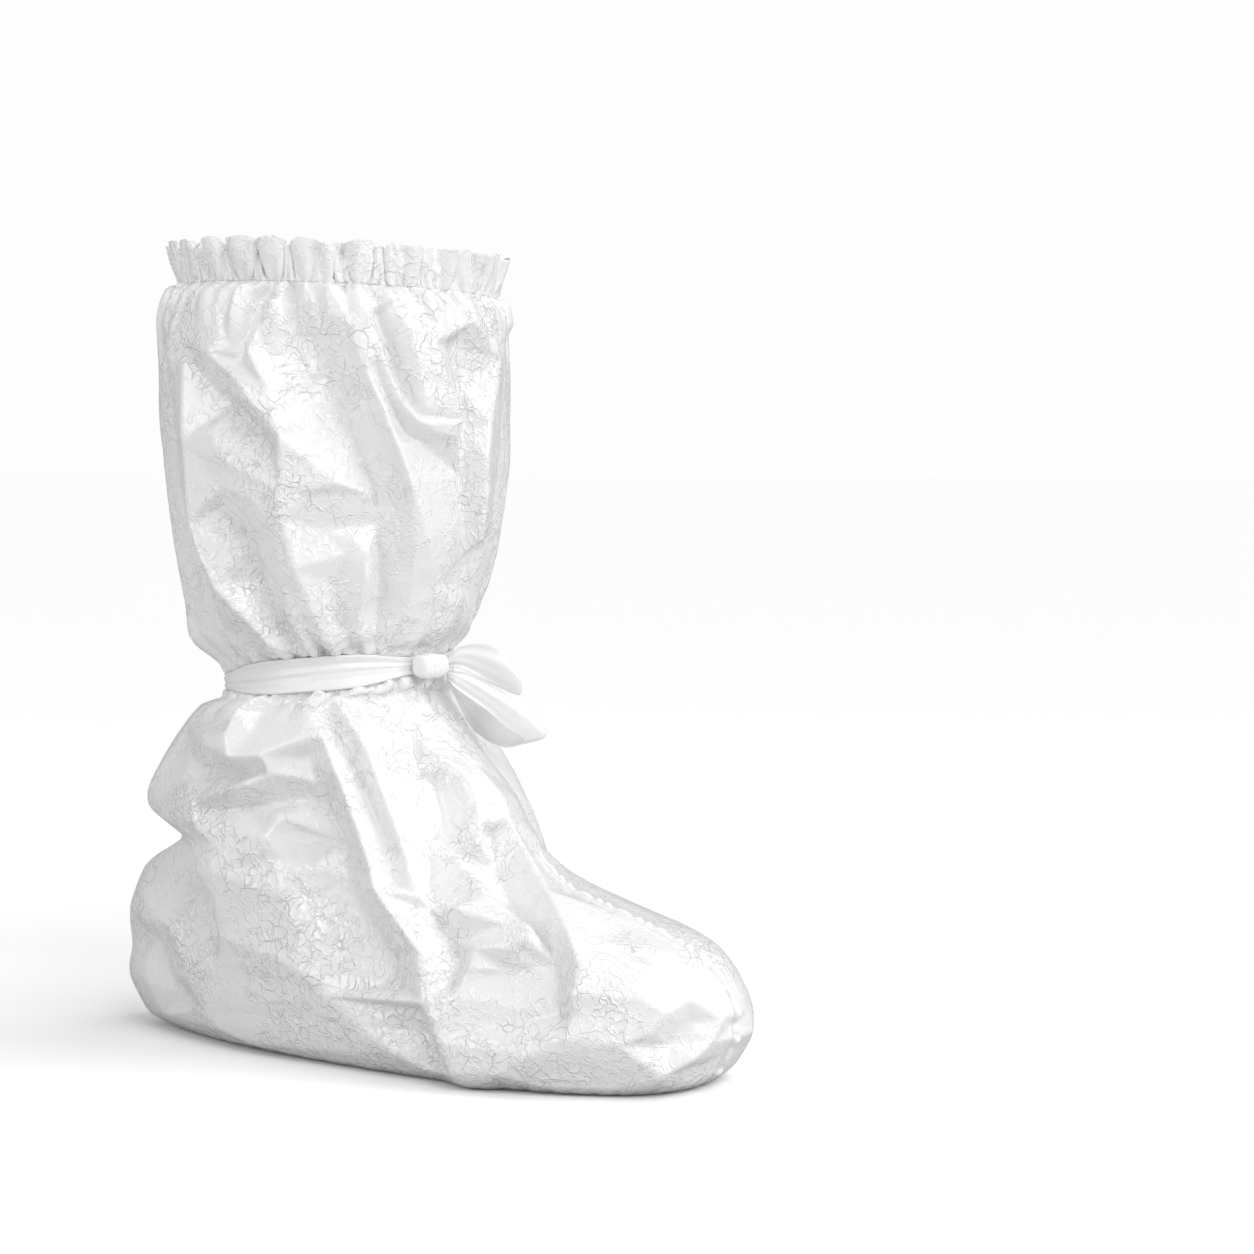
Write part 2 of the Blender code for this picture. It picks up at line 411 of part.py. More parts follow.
SECTIONS = LEG_SECTIONS + NECK_SECTIONS + FOOT_SECTIONS
SECTION_DOWNS = np.array([s.down for s in SECTIONS])
SECTION_ROWS = np.array(
    [leg_row(s) for s in LEG_SECTIONS]
    + [neck_row(s) for s in NECK_SECTIONS]
    + [foot_row(s) for s in FOOT_SECTIONS]
)
SECTION_SLOPES = np.gradient(SECTION_ROWS, SECTION_DOWNS, axis=0)


def hermite(t, start, end, start_slope, end_slope):
    """Values on a smooth curve between two places, t from 0 to 1."""
    return (
        (1 + 2 * t) * (1 - t) ** 2 * start
        + t * (1 - t) ** 2 * start_slope
        + t**2 * (3 - 2 * t) * end
        + t**2 * (t - 1) * end_slope
    )


def section_at(down):
    """The section's values at places down the bag, on smooth curves through the tables."""
    i = np.clip(np.searchsorted(SECTION_DOWNS, down, side="right") - 1, 0, len(SECTIONS) - 2)
    span = SECTION_DOWNS[i + 1] - SECTION_DOWNS[i]
    t = ((down - SECTION_DOWNS[i]) / span)[..., None]
    span = span[..., None]
    slopes = span * SECTION_SLOPES[i], span * SECTION_SLOPES[i + 1]
    return hermite(t, SECTION_ROWS[i], SECTION_ROWS[i + 1], *slopes)


def smooth_form(rounds, downs):
    """Points of the bag's smooth form at places round and down it."""
    back, front, back_z, front_z, near, far, square, taper, lift = np.moveaxis(
        section_at(np.asarray(downs)), -1, 0
    )
    angle = 2 * math.pi * np.asarray(rounds)
    c, s = np.cos(angle), np.sin(angle)
    s = np.where(np.abs(s) < 1e-9, 0.0, s)
    power = 2.0 / square
    along = (1 - np.sign(c) * np.abs(c) ** power) / 2
    half = np.where(s >= 0, near, far) * (1 + taper * (along - BALL_SHARE))
    across = -np.sign(s) * half * np.abs(s) ** power
    x = back + (front - back) * along
    z = back_z + (front_z - back_z) * along + lift * s
    return np.stack([x, across, z - FILM], axis=-1)


def outward(rounds, downs):
    """Unit normals of the smooth form."""
    rounds, downs = np.asarray(rounds, float), np.asarray(downs, float)
    step = 0.004
    low, high = np.maximum(downs - step, 0.0), np.minimum(downs + step, 2.0)
    down_step = smooth_form(rounds, high) - smooth_form(rounds, low)
    round_step = smooth_form(rounds + step, downs) - smooth_form(rounds - step, downs)
    normals = np.cross(down_step, round_step)
    return normals / np.linalg.norm(normals, axis=-1, keepdims=True)


# Folds


def plain_stations():
    """Stations that stay on the smooth form: at the cuff, the tie, the sole and both seams."""
    evenly = [k / PLAIN_STATIONS for k in range(PLAIN_STATIONS + 1)]
    stations = [(r, down, 0.0) for down in PLAIN_DOWNS for r in evenly]
    stations += [(r, down, 0.0) for down in BACK_SEAM_DOWNS for r in (0.0, 1.0)]
    stations += [(0.5, down, 0.0) for down in FRONT_SEAM_DOWNS]
    return stations


def fold_net():
    """All stations, the edges along the folds, and the triangles of the facets between."""
    stations = []
    edges = []
    for fold in FOLDS:
        first = len(stations)
        stations.extend(fold.stations)
        edges.extend((first + k, first + k + 1) for k in range(len(fold.stations) - 1))
    stations += plain_stations()
    found = delaunay_2d_cdt([(r, d) for r, d, _ in stations], edges, [], 0, 1e-6)
    places = np.array([tuple(p) for p in found[0]])
    source = [stations[ids[0]] if ids else None for ids in found[3]]
    outs = np.array([s[2] if s else 0.0 for s in source])
    return places, outs, np.array([t[:3] for t in found[2]])


def on_facets(places, triangles, values, rounds, downs):
    """Values at places of the chart, linear over each triangle of the net."""
    result = np.zeros((*rounds.shape, values.shape[-1]))
    for triangle in triangles:
        (ar, ad), (br, bd), (cr, cd) = places[triangle]
        area = (br - ar) * (cd - ad) - (cr - ar) * (bd - ad)
        if abs(area) < 1e-12:
            continue
        v = ((rounds - ar) * (cd - ad) - (cr - ar) * (downs - ad)) / area
        w = ((br - ar) * (downs - ad) - (rounds - ar) * (bd - ad)) / area
        inside = (v >= -1e-9) & (w >= -1e-9) & (v + w <= 1 + 1e-9)
        result[inside] = np.stack([1 - v - w, v, w], axis=-1)[inside] @ values[triangle]
    return result


def gather_depths(rounds, downs):
    """Small pleats that fade away from the cuff and from the tie, and spare both seams."""
    wave = np.cos(2 * math.pi * GATHER_COUNT * rounds + 0.9 * np.sin(6 * math.pi * rounds))
    seam = np.abs(np.sin(2 * math.pi * rounds)) ** 0.5
    neck = np.abs(downs - 1.0) - 0.05
    from_cuff = np.clip(1 - downs / CUFF_GATHER_REACH, 0, 1) * np.clip(downs / 0.03, 0, 1)
    from_tie = np.clip(1 - neck / TIE_GATHER_REACH, 0, 1) * np.clip(neck / 0.03, 0, 1)
    return wave * seam * (CUFF_GATHER_DEPTH * from_cuff + TIE_GATHER_DEPTH * from_tie)


def folded_form(rounds, downs, net):
    """Points of the bag with its folds: flat facets between the folds, partly rounded."""
    rounds, downs = np.asarray(rounds, float), np.asarray(downs, float)
    places, outs, triangles = net
    corners = smooth_form(places[:, 0], places[:, 1])
    corners = corners + outward(places[:, 0], places[:, 1]) * (FOLD_DEPTH * outs)[:, None]
    values = np.concatenate([corners, outs[:, None]], axis=1)
    found = on_facets(places, triangles, values, rounds, downs)
    normals = outward(rounds, downs)
    curved = smooth_form(rounds, downs) + normals * FOLD_DEPTH * found[..., 3:]
    flat_share = FLAT_SHARE * np.clip((np.abs(downs - 1.0) - 0.06) / 0.06, 0, 1)
    flat_share = flat_share * np.clip(downs / 0.05, 0, 1) * np.clip((2 - downs) / 0.05, 0, 1)
    bag = curved + (found[..., :3] - curved) * flat_share[..., None]
    return bag + normals * gather_depths(rounds, downs)[..., None]


# Mesh of the bag


def ring_downs():
    downs = []
    for here, after in zip(SECTIONS, SECTIONS[1:]):
        downs += [here.down + (after.down - here.down) * k / here.rings for k in range(here.rings)]
    return downs + [SECTIONS[-1].down]


def away_from_folds(places, edges, r, d):
    """True where a grid point lies clear of every fold, so that no sliver comes of it."""
    if not len(edges):
        return True
    a, b = places[edges[:, 0]], places[edges[:, 1]]
    scale = np.array([1.0, 0.75])
    p = np.array([r, d]) * scale
    a, b = a * scale, b * scale
    t = np.clip(np.sum((p - a) * (b - a), axis=1) / np.sum((b - a) ** 2, axis=1), 0, 1)
    return np.min(np.linalg.norm(a + (b - a) * t[:, None] - p, axis=1)) > 0.45 / COLUMNS


def bag_chart():
    """Places and triangles of the bag's mesh in the chart, with edges along the folds."""
    folds = []
    stations = []
    for fold in FOLDS:
        first = len(stations)
        stations.extend((r, d) for r, d, _ in fold.stations)
        folds.extend((first + k, first + k + 1) for k in range(len(fold.stations) - 1))
    fixed = np.array(stations)
    fold_edges = np.array(folds)
    points = list(stations)
    downs = ring_downs()
    rims = (downs[0], *(s.down for s in NECK_SECTIONS), downs[-1])
    edges = list(folds)
    for d in downs:
        first = len(points)
        keep_all = d in rims
        for k in range(COLUMNS + 1):
            r = k / COLUMNS
            seam = k in (0, COLUMNS // 2, COLUMNS)
            if keep_all or seam or away_from_folds(fixed, fold_edges, r, d):
                points.append((r, d))
        if keep_all:
            edges.extend((first + k, first + k + 1) for k in range(COLUMNS))
    found = delaunay_2d_cdt(points, edges, [], 0, 1e-6)
    chart = np.array([tuple(p) for p in found[0]])
    return chart, [tuple(t[:3]) for t in found[2]]


def sole_rings(edge):
    """Rings that close the sole from its edge inwards, then the points of its middle line."""
    middle_x = (edge[:, 0].min() + edge[:, 0].max()) / 2
    rings = []
    for size in SOLE_RINGS:
        inner = edge.copy()
        inner[:, 0] = middle_x + (inner[:, 0] - middle_x) * size.length
        inner[:, 1] *= size.width
        rings.append(inner)
    line = edge[: COLUMNS // 2 + 1].copy()
    line[:, 0] = middle_x + (line[:, 0] - middle_x) * SOLE_LINE_LENGTH
    line[:, 1] = 0.0
    return rings, line


def close_sole(mesh, edge):
    """Faces from the vertices of the sole's edge to its middle line."""
    rings, line = sole_rings(np.array([v.co for v in edge]))
    grid = [edge] + [[mesh.verts.new(p) for p in ring] for ring in rings]
    middle = [mesh.verts.new(p) for p in line]
    half = COLUMNS // 2
    grid.append([middle[k] if k <= half else middle[COLUMNS - k] for k in range(COLUMNS)])
    for outer, inner in zip(grid, grid[1:]):
        for k in range(COLUMNS):
            after = (k + 1) % COLUMNS
            mesh.faces.new((outer[k], inner[k], inner[after], outer[after]))


def bag_mesh(name, net):
    """The bag as an open surface with its faces pointing out."""
    chart, triangles = bag_chart()
    points = folded_form(chart[:, 0], chart[:, 1], net)
    mesh = bmesh.new()
    at_start = {}
    verts = []
    for (r, d), p in zip(chart, points):
        if r < 1e-9:
            at_start[round(d, 6)] = mesh.verts.new(p)
            verts.append(at_start[round(d, 6)])
        else:
            verts.append(None)
    for k, ((r, d), p) in enumerate(zip(chart, points)):
        if verts[k] is None:
            verts[k] = at_start[round(d, 6)] if r > 1 - 1e-9 else mesh.verts.new(p)
    for triangle in triangles:
        mesh.faces.new([verts[k] for k in triangle])
    bottom = [k for k in range(len(chart)) if chart[k][1] > 2 - 1e-9 and chart[k][0] < 1 - 1e-9]
    bottom.sort(key=lambda k: chart[k][0])
    close_sole(mesh, [verts[k] for k in bottom])
    bmesh.ops.recalc_face_normals(mesh, faces=mesh.faces)
    data = bpy.data.meshes.new(name)
    mesh.to_mesh(data)
    mesh.free()
    return data


# Pieces


def side_block(name, side, collection):
    """A block over one side of the bag, as far as half a seam gap from the middle plane."""
    bpy.ops.mesh.primitive_cube_add(size=1.0)
    block = bpy.context.object
    block.name = name
    for owner in list(block.users_collection):
        owner.objects.unlink(block)
    collection.objects.link(block)
    block.location = (0.0, side * (0.5 - GAP / 2), 0.2)
    block.hide_render = True
    block.display_type = "WIRE"
    return block


def side_panel(name, data, cutter, material, collection):
    panel = bpy.data.objects.new(name, data)
    collection.objects.link(panel)
    solidify = panel.modifiers.new("film", "SOLIDIFY")
    solidify.thickness = FILM
    solidify.offset = -1.0
    cut = panel.modifiers.new("seam", "BOOLEAN")
    cut.operation = "DIFFERENCE"
    cut.object = cutter
    if not data.materials:
        data.materials.append(material)
    return panel


def strip_object(name, rows, closed, thickness, offset, material, collection):
    """A sheet through rows of points, thickened; a closed sheet joins its last row to its first."""
    mesh = bmesh.new()
    grid = [[mesh.verts.new(p) for p in row] for row in rows]
    pairs = list(zip(grid, grid[1:]))
    if closed:
        pairs.append((grid[-1], grid[0]))
    for first, second in pairs:
        for k in range(len(first) - 1):
            mesh.faces.new((first[k], first[k + 1], second[k + 1], second[k]))
    data = bpy.data.meshes.new(name)
    mesh.to_mesh(data)
    mesh.free()
    data.materials.append(material)
    sheet = bpy.data.objects.new(name, data)
    collection.objects.link(sheet)
    solidify = sheet.modifiers.new("thickness", "SOLIDIFY")
    solidify.thickness = thickness
    solidify.offset = offset
    return sheet


def cuff_rows():
    """Columns of the ruffle, each from its gathered foot up to its edge."""
    rows = []
    for k in range(CUFF_COLUMNS):
        r = k / CUFF_COLUMNS
        base = smooth_form(np.array(r), np.array(0.0))
        out = base * np.array([1.0, 1.0, 0.0])
        out /= np.linalg.norm(out)
        phase = 2 * math.pi * RUFFLE_COUNT * r + 1.1 * math.sin(10 * math.pi * r)
        column = []
        for share in (0.0, 0.33, 0.67, 1.0):
            swing = RUFFLE_DEPTH * (0.25 + 0.75 * share) * math.sin(phase)
            lift = RUFFLE_LIFT * share * math.cos(phase / 2 + 0.6)
            bulge = CUFF_FLARE * math.sin(math.pi * (0.15 + 0.55 * share))
            rise = GAP + FILM / 4 + share * CUFF_HEIGHT + lift
            column.append(base + out * (swing + bulge - FILM / 2) + np.array([0.0, 0.0, rise]))
        rows.append(column)
    return rows


def tie_narrowing(r):
    """The tie's width at a place round: drawn in at the knot and folded narrower behind."""
    to_knot = min(abs(r - KNOT_ROUND), 1 - abs(r - KNOT_ROUND))
    drawn = 0.45 + 0.55 * min(1.0, to_knot / 0.16)
    folded = 1 - 0.42 * max(0.0, math.cos(2 * math.pi * r)) ** 1.5
    return drawn * folded


def tie_rows():
    """Columns of the tie, each down its width, on the bag's neck."""
    half_down = NECK_SECTIONS[2].down - NECK_SECTIONS[1].down
    rows = []
    for k in range(COLUMNS):
        r = k / COLUMNS
        column = []
        for share in TIE_SHARES:
            down = 1.0 + share * half_down * tie_narrowing(r) * 0.92
            place = np.array(r), np.array(down)
            belly = TIE_BELLY * (1 - share * share)
            column.append(smooth_form(*place) + outward(*place) * (TIE_GAP + belly))
        rows.append(column)
    return rows


def knot_frame():
    """Seat, outward, sideways and up directions at the knot."""
    place = np.array(KNOT_ROUND), np.array(1.0)
    out = outward(*place) * np.array([1.0, 1.0, 0.0])
    out /= np.linalg.norm(out)
    side = np.array([-out[1], out[0], 0.0])
    seat = smooth_form(*place) + out * (TIE_GAP + TIE_BELLY + TIE_THICKNESS)
    return seat, out, side


def knot_object(material, collection):
    """A plump knot on the front of the tie."""
    seat, out, _ = knot_frame()
    mesh = bmesh.new()
    bmesh.ops.create_cube(mesh, size=1.0)
    size = np.array([KNOT_DEPTH, KNOT_LENGTH, KNOT_WIDTH])
    for vertex in mesh.verts:
        vertex.co = tuple(np.array(vertex.co) * size * KNOT_CAGE)
    data = bpy.data.meshes.new("tie_knot")
    mesh.to_mesh(data)
    mesh.free()
    data.materials.append(material)
    knot = bpy.data.objects.new("tie_knot", data)
    knot.location = tuple(seat + out * (2 * GAP + KNOT_DEPTH / 2))
    knot.rotation_euler = (0.0, 0.0, math.atan2(out[1], out[0]))
    collection.objects.link(knot)
    smooth = knot.modifiers.new("plump", "SUBSURF")
    smooth.levels = 2
    smooth.render_levels = 2
    return knot


def loop_rows(table, length, clear):
    """Stations of a ribbon that leaves the knot, turns at the tip and comes back behind."""
    seat, out, level = knot_frame()
    start = seat + out * (2 * GAP + KNOT_DEPTH / 2) + level * (KNOT_LENGTH / 2 + clear)
    along = np.array([math.cos(LOOP_TURN), math.sin(LOOP_TURN), 0.0])
    towards = np.array([math.sin(LOOP_TURN), -math.cos(LOOP_TURN), 0.0])
    axes = np.array([along, [0.0, 0.0, 1.0], towards])
    edges = np.array([row[1:] for row in table]) * length
    stops = np.arange(len(table), dtype=float)
    slopes = np.gradient(edges, axis=0)
    rows = []
    for place in np.linspace(0, stops[-1], LOOP_STEPS + 1):
        k = min(int(place), len(table) - 2)
        upper_lower = hermite(place - k, edges[k], edges[k + 1], slopes[k], slopes[k + 1])
        upper, lower = start + upper_lower[:3] @ axes, start + upper_lower[3:] @ axes
        rows.append([lower + (upper - lower) * share for share in LOOP_SHARES])
    return rows


def seam_rows(net):
    """Stations of the welt along the front middle of the bag, each across the seam."""
    downs = np.array([d for d in ring_downs() if SEAM_START <= d <= SEAM_END])
    middle = folded_form(np.full(downs.shape, 0.5), downs, net)
    beside = folded_form(np.full(downs.shape, 0.5 + SEAM_STEP), downs, net)
    half = SEAM_WIDTH / 2 * SEAM_STEP / np.linalg.norm(beside - middle, axis=1)
    up = outward(np.full(downs.shape, 0.5), downs)
    columns = []
    for share in (1.0, 0.0, -1.0):
        columns.append(folded_form(0.5 + share * half, downs, net) + up * SEAM_LIFT)
    return [list(row) for row in np.stack(columns, axis=1)]


def main():
    clear_scene()
    cover = new_collection("boot_cover")
    helpers = new_collection("helpers")
    film = film_material("film", (0.86, 0.86, 0.85), 0.32)
    tape = film_material("tie_film", (0.88, 0.88, 0.87), 0.40)
    welt = film_material("seam_film", (0.84, 0.84, 0.84), 0.36)

    net = fold_net()
    data = bag_mesh("bag", net)
    side_panel("near_panel", data, side_block("far_block", 1, helpers), film, cover)
    side_panel("far_panel", data, side_block("near_block", -1, helpers), film, cover)

    strip_object("elastic_cuff", cuff_rows(), True, CUFF_THICKNESS, 0.0, film, cover)
    strip_object("ankle_tie", tie_rows(), True, TIE_THICKNESS, 1.0, tape, cover)
    knot_object(tape, cover)
    upper = loop_rows(UPPER_LOOP_ROWS, UPPER_LOOP_LENGTH, UPPER_LOOP_CLEAR)
    lower = loop_rows(LOWER_LOOP_ROWS, LOWER_LOOP_LENGTH, LOWER_LOOP_CLEAR)
    strip_object("upper_loop", upper, False, LOOP_THICKNESS, 0.0, tape, cover)
    strip_object("lower_loop", lower, False, LOOP_THICKNESS, 0.0, tape, cover)
    strip_object("front_seam", seam_rows(net), False, SEAM_THICKNESS, 1.0, welt, cover)


main()
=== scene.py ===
"""Boot cover of glossy film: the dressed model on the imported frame, with floor, light and camera.

The chart of the bag is the part's own: "round" goes from the back (0) by the near side (0.25),
the front (0.5) and the far side (0.75) to the back, "down" is 0 at the cuff line, 1 at the tie
and 2 at the edge of the sole.  Lengths are in metres.
"""

import math
from collections import namedtuple

import bmesh
import bpy
import numpy as np
from mathutils import Matrix, Vector
from mathutils.geometry import delaunay_2d_cdt


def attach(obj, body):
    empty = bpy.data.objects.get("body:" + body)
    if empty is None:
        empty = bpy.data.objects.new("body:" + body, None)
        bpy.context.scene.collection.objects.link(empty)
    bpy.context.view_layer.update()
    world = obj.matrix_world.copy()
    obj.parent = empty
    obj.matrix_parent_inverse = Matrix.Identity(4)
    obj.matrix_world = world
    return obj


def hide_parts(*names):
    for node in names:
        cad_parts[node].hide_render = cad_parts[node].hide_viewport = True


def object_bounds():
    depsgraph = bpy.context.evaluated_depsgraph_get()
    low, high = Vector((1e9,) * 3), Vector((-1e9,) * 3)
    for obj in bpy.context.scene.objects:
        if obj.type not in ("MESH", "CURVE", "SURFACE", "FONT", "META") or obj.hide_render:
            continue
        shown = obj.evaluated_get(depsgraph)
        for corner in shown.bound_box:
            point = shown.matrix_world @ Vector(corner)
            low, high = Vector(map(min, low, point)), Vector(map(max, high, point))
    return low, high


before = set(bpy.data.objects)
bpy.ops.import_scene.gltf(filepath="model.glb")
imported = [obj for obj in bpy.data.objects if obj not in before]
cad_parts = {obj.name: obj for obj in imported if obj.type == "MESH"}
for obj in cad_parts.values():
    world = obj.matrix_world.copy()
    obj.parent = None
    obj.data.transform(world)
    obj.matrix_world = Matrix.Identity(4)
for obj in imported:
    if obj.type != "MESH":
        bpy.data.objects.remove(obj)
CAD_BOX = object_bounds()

# Driving sizes of the bag, and the clearance that the knot and the ruffle keep
FILM = 0.0012
GAP = 0.0003
CUFF_LINE_HEIGHT = 0.409
CUFF_DROP = 0.0036
CUFF_NEAR_LIFT = 0.0032
TIE_HEIGHT = 0.2027
TIE_CLIMB = 0.0124
TOE_REACH = 0.258
HEEL_REACH = 0.140
CALF_RADIUS = 0.095
ANKLE_RADIUS = 0.060
SOLE_HALF_WIDTH = 0.066

# Ruffle above the elastic: lobes, with the tight little gathers (teeth) along the elastic,
# which is drawn in by the pinch
CUFF_HEIGHT = 0.019
CUFF_FLARE = 0.0012
RUFFLE_COUNT = 26
RUFFLE_FINER = 2.3
RUFFLE_DEPTH = 0.0048
RUFFLE_LIFT = 0.0026
RUFFLE_SEED = 5
TEETH_COUNT = 120
TEETH_DEPTH = 0.0008
PINCH = 0.0032
CUFF_SHEET = 0.0004
CUFF_FOOT = 0.06
CUFF_COLUMNS = 1260
CUFF_ROWS = 24

# Ankle tie: HALF_DOWN is its half width on the chart where it lies flat, TIE_GAP keeps it off
# the bag, and its lips are the folded edges
TIE_WIDTH = 0.020
TIE_THICKNESS = 0.0014
TIE_SHEET = 0.0005
TIE_BELLY = 0.0008
TIE_PLEAT = 0.0006
TIE_LIP = 0.0009
TIE_GAP = 0.0005
HALF_DOWN = 0.047
TIE_NARROWEST = 0.46
TIE_WIDE_AT = (0.31, 0.69)
TIE_WIDE_REACH = 0.12
TIE_COLUMNS = 480
TIE_ROWS = 24

# Knot: where it sits round the bag, its size, and how far its middle is moved along the tie
KNOT_LENGTH = 0.024
KNOT_WIDTH = 0.0132
KNOT_DEPTH = 0.013
KNOT_ROUND = 0.477
KNOT_SHIFT = 0.0021
KNOT_STEPS = 72
KNOT_RINGS = 40
KNOT_GROOVES = (-0.45, -0.02, 0.42)

# Bow loops: both hang in an upright plane that is turned from +X about the leg.  Each row of a
# loop's table is a place along the ribbon, with its upper and its lower edge: "along" the
# plane, "up", and "out" of the plane towards the viewer, as shares of the loop's length.
# Flat sizes are shares of that length too.
LOOP_TURN = math.radians(34)
UPPER_LOOP_LENGTH = 0.040
LOWER_LOOP_LENGTH = 0.055
LOOP_SHEET = 0.0004
LOOP_BELLY = 0.030
LOOP_WRINKLE = 0.00075
LOOP_STEPS = 140
LOOP_COLUMNS = 30
LoopRow = namedtuple("LoopRow", "name along up out low_along low_up low_out")


def named_rows(kind, *table):
    return tuple(kind(*row) for row in table)


UPPER_LOOP_ROWS = named_rows(
    LoopRow,
    ("front foot", 0.00, 0.10, 0.035, 0.00, -0.02, 0.035),
    ("front near", 0.20, 0.25, 0.070, 0.22, -0.06, 0.060),
    ("front middle", 0.50, 0.28, 0.100, 0.53, -0.22, 0.050),
    ("front far", 0.70, 0.22, 0.080, 0.86, -0.38, 0.030),
    ("tip", 0.83, 0.08, 0.000, 1.00, -0.42, -0.020),
    ("back far", 0.68, 0.18, -0.100, 0.85, -0.38, -0.080),
    ("back middle", 0.48, 0.22, -0.140, 0.53, -0.24, -0.120),
    ("back near", 0.20, 0.20, -0.100, 0.22, -0.06, -0.090),
    ("back foot", 0.00, 0.10, -0.040, 0.00, -0.02, -0.040),
)
LOWER_LOOP_ROWS = named_rows(
    LoopRow,
    ("front foot", 0.03, -0.06, 0.035, 0.03, -0.14, 0.040),
    ("front near", 0.24, -0.08, 0.110, 0.12, -0.23, 0.110),
    ("front middle", 0.51, -0.21, 0.130, 0.39, -0.42, 0.150),
    ("front far", 0.78, -0.37, 0.110, 0.60, -0.60, 0.140),
    ("tip", 1.00, -0.63, 0.000, 0.80, -0.75, 0.040),
    ("back far", 0.80, -0.50, -0.120, 0.56, -0.82, -0.160),
    ("back middle", 0.40, -0.35, -0.280, 0.27, -0.68, -0.400),
    ("back near", 0.15, -0.18, -0.180, 0.10, -0.36, -0.240),
    ("back foot", 0.02, -0.10, -0.020, 0.02, -0.17, -0.030),
)
# From the knot's end to the foot of each loop
UPPER_LOOP_CLEAR = 0.0019
LOWER_LOOP_CLEAR = 0.0005

# Welt over the seam from the instep to the toe
SEAM_WIDTH = 0.006
SEAM_START = 1.40
SEAM_END = 1.955
SEAM_LIFT = 0.0006
SEAM_STEP = 0.004
SEAM_CROWN = 0.0016
SEAM_ROWS = 420
SEAM_LINES = 13
PUCKER_PITCH = 0.0085
PUCKER_DEPTH = 0.0006

# Mesh density of the bag: its rows go down the shaft, then down the foot
COLUMNS = 432
LEG_ROWS = 190
FOOT_ROWS = 225
SOLE_ROWS = 10
BAG_DOWNS = np.concatenate(
    [np.linspace(0, 1, LEG_ROWS, endpoint=False), np.linspace(1, 2, FOOT_ROWS)]
)

# Finish of the bag: the radius of its edge at the sole, the place round it that faces the
# camera, how much deeper its folds are there, and how often its creases are rounded
SOLE_ROLL = 0.010
FACING = 0.33
DEEPER = 0.5
CREASE_ROUNDING = 1

# Looks of the film, with the strength of its crease lines (their relief and the painted highlight
# along them), its fine grain and its gloss coat
Look = namedtuple("Look", "colour roughness crackle grain coat")
LOOKS = {
    "film": Look((0.90, 0.90, 0.897), 0.27, 1.0, 0.05, 0.8),
    "tie_film": Look((0.90, 0.90, 0.897), 0.34, 0.2, 0.35, 0.3),
    "seam_film": Look((0.92, 0.92, 0.917), 0.30, 0.6, 0.25, 0.4),
}
COAT_ROUGHNESS = 0.13
# Painted highlight: the near white that the base colour takes along the crease lines
CREASE_HIGHLIGHT_WHITE = 0.99
# Crease lines: how high they stand, how far they are warped, and the scale and line width of
# the coarse and the fine net
CREASE_HEIGHT = 0.00046
CREASE_WARP = 0.018
CREASE_NETS = ((135.0, 0.10), (230.0, 0.12))

# Light: two suns, two strips of light, and a white surround that is dimmer as light than it is
# to the camera.  The floor has one grey for light, and a white and a lift for the camera alone.
Sun = namedtuple("Sun", "energy spread place")
SUNS = {
    "key": Sun(0.94, 0.60, (0.70, -0.38, 0.60)),
    "top": Sun(0.80, 0.80, (0.40, 0.30, 0.86)),
}
Strip = namedtuple("Strip", "power width height place")
STRIPS = {
    "strip_left": Strip(7.5, 0.8, 1.2, (-0.3, -1.8, 0.6)),
    "strip_right": Strip(8.0, 0.7, 1.2, (1.7, 0.3, 0.6)),
}
STRIP_TARGET = (0.0, 0.0, 0.2)
SKY_LIGHT = 0.46
SKY_SEEN = 0.985
FLOOR_SIZE = 60.0
FLOOR_GREY = 0.55
FLOOR_WHITE = 1.12
FLOOR_LIFT = 0.012

# Camera: its place, how far it is turned from the side and tilted down in degrees, and its lens
# and sensor width in mm
CAMERA_PLACE = (1.0849, -1.3273, 0.322)
CAMERA_TURN = 34.0
CAMERA_TILT = 3.2315
LENS = 90.0
SENSOR_WIDTH = 36.0

# Sections of the bag.
# Leg: "up" is the share of the way from the tie to the cuff line, and the reaches back, front
# and to the sides are shares of the calf radius.
LegSection = namedtuple("LegSection", "name down up back front side")
LEG_SECTIONS = named_rows(
    LegSection,
    ("cuff line", 0.00, 1.00, 0.915, 0.935, 0.925),
    ("under the cuff", 0.06, 0.94, 0.970, 0.958, 0.970),
    ("upper calf", 0.20, 0.80, 1.010, 0.974, 1.000),
    ("calf", 0.35, 0.65, 1.015, 0.978, 1.000),
    ("mid shaft", 0.50, 0.50, 0.985, 0.965, 0.975),
    ("lower shaft", 0.66, 0.34, 0.935, 0.920, 0.925),
    ("above the tie", 0.80, 0.20, 0.875, 0.815, 0.840),
    ("overhang", 0.90, 0.10, 0.820, 0.740, 0.775),
)

# Neck: "up" is in half tie widths from the tie's middle, the reaches are shares of the ankle
# radius.
NeckSection = namedtuple("NeckSection", "name down up back front side")
NECK_SECTIONS = named_rows(
    NeckSection,
    ("neck top", 0.95, 1.0, 1.08, 1.04, 1.03),
    ("neck", 1.00, 0.0, 1.00, 1.00, 0.98),
    ("neck foot", 1.05, -1.0, 1.06, 1.06, 1.02),
)

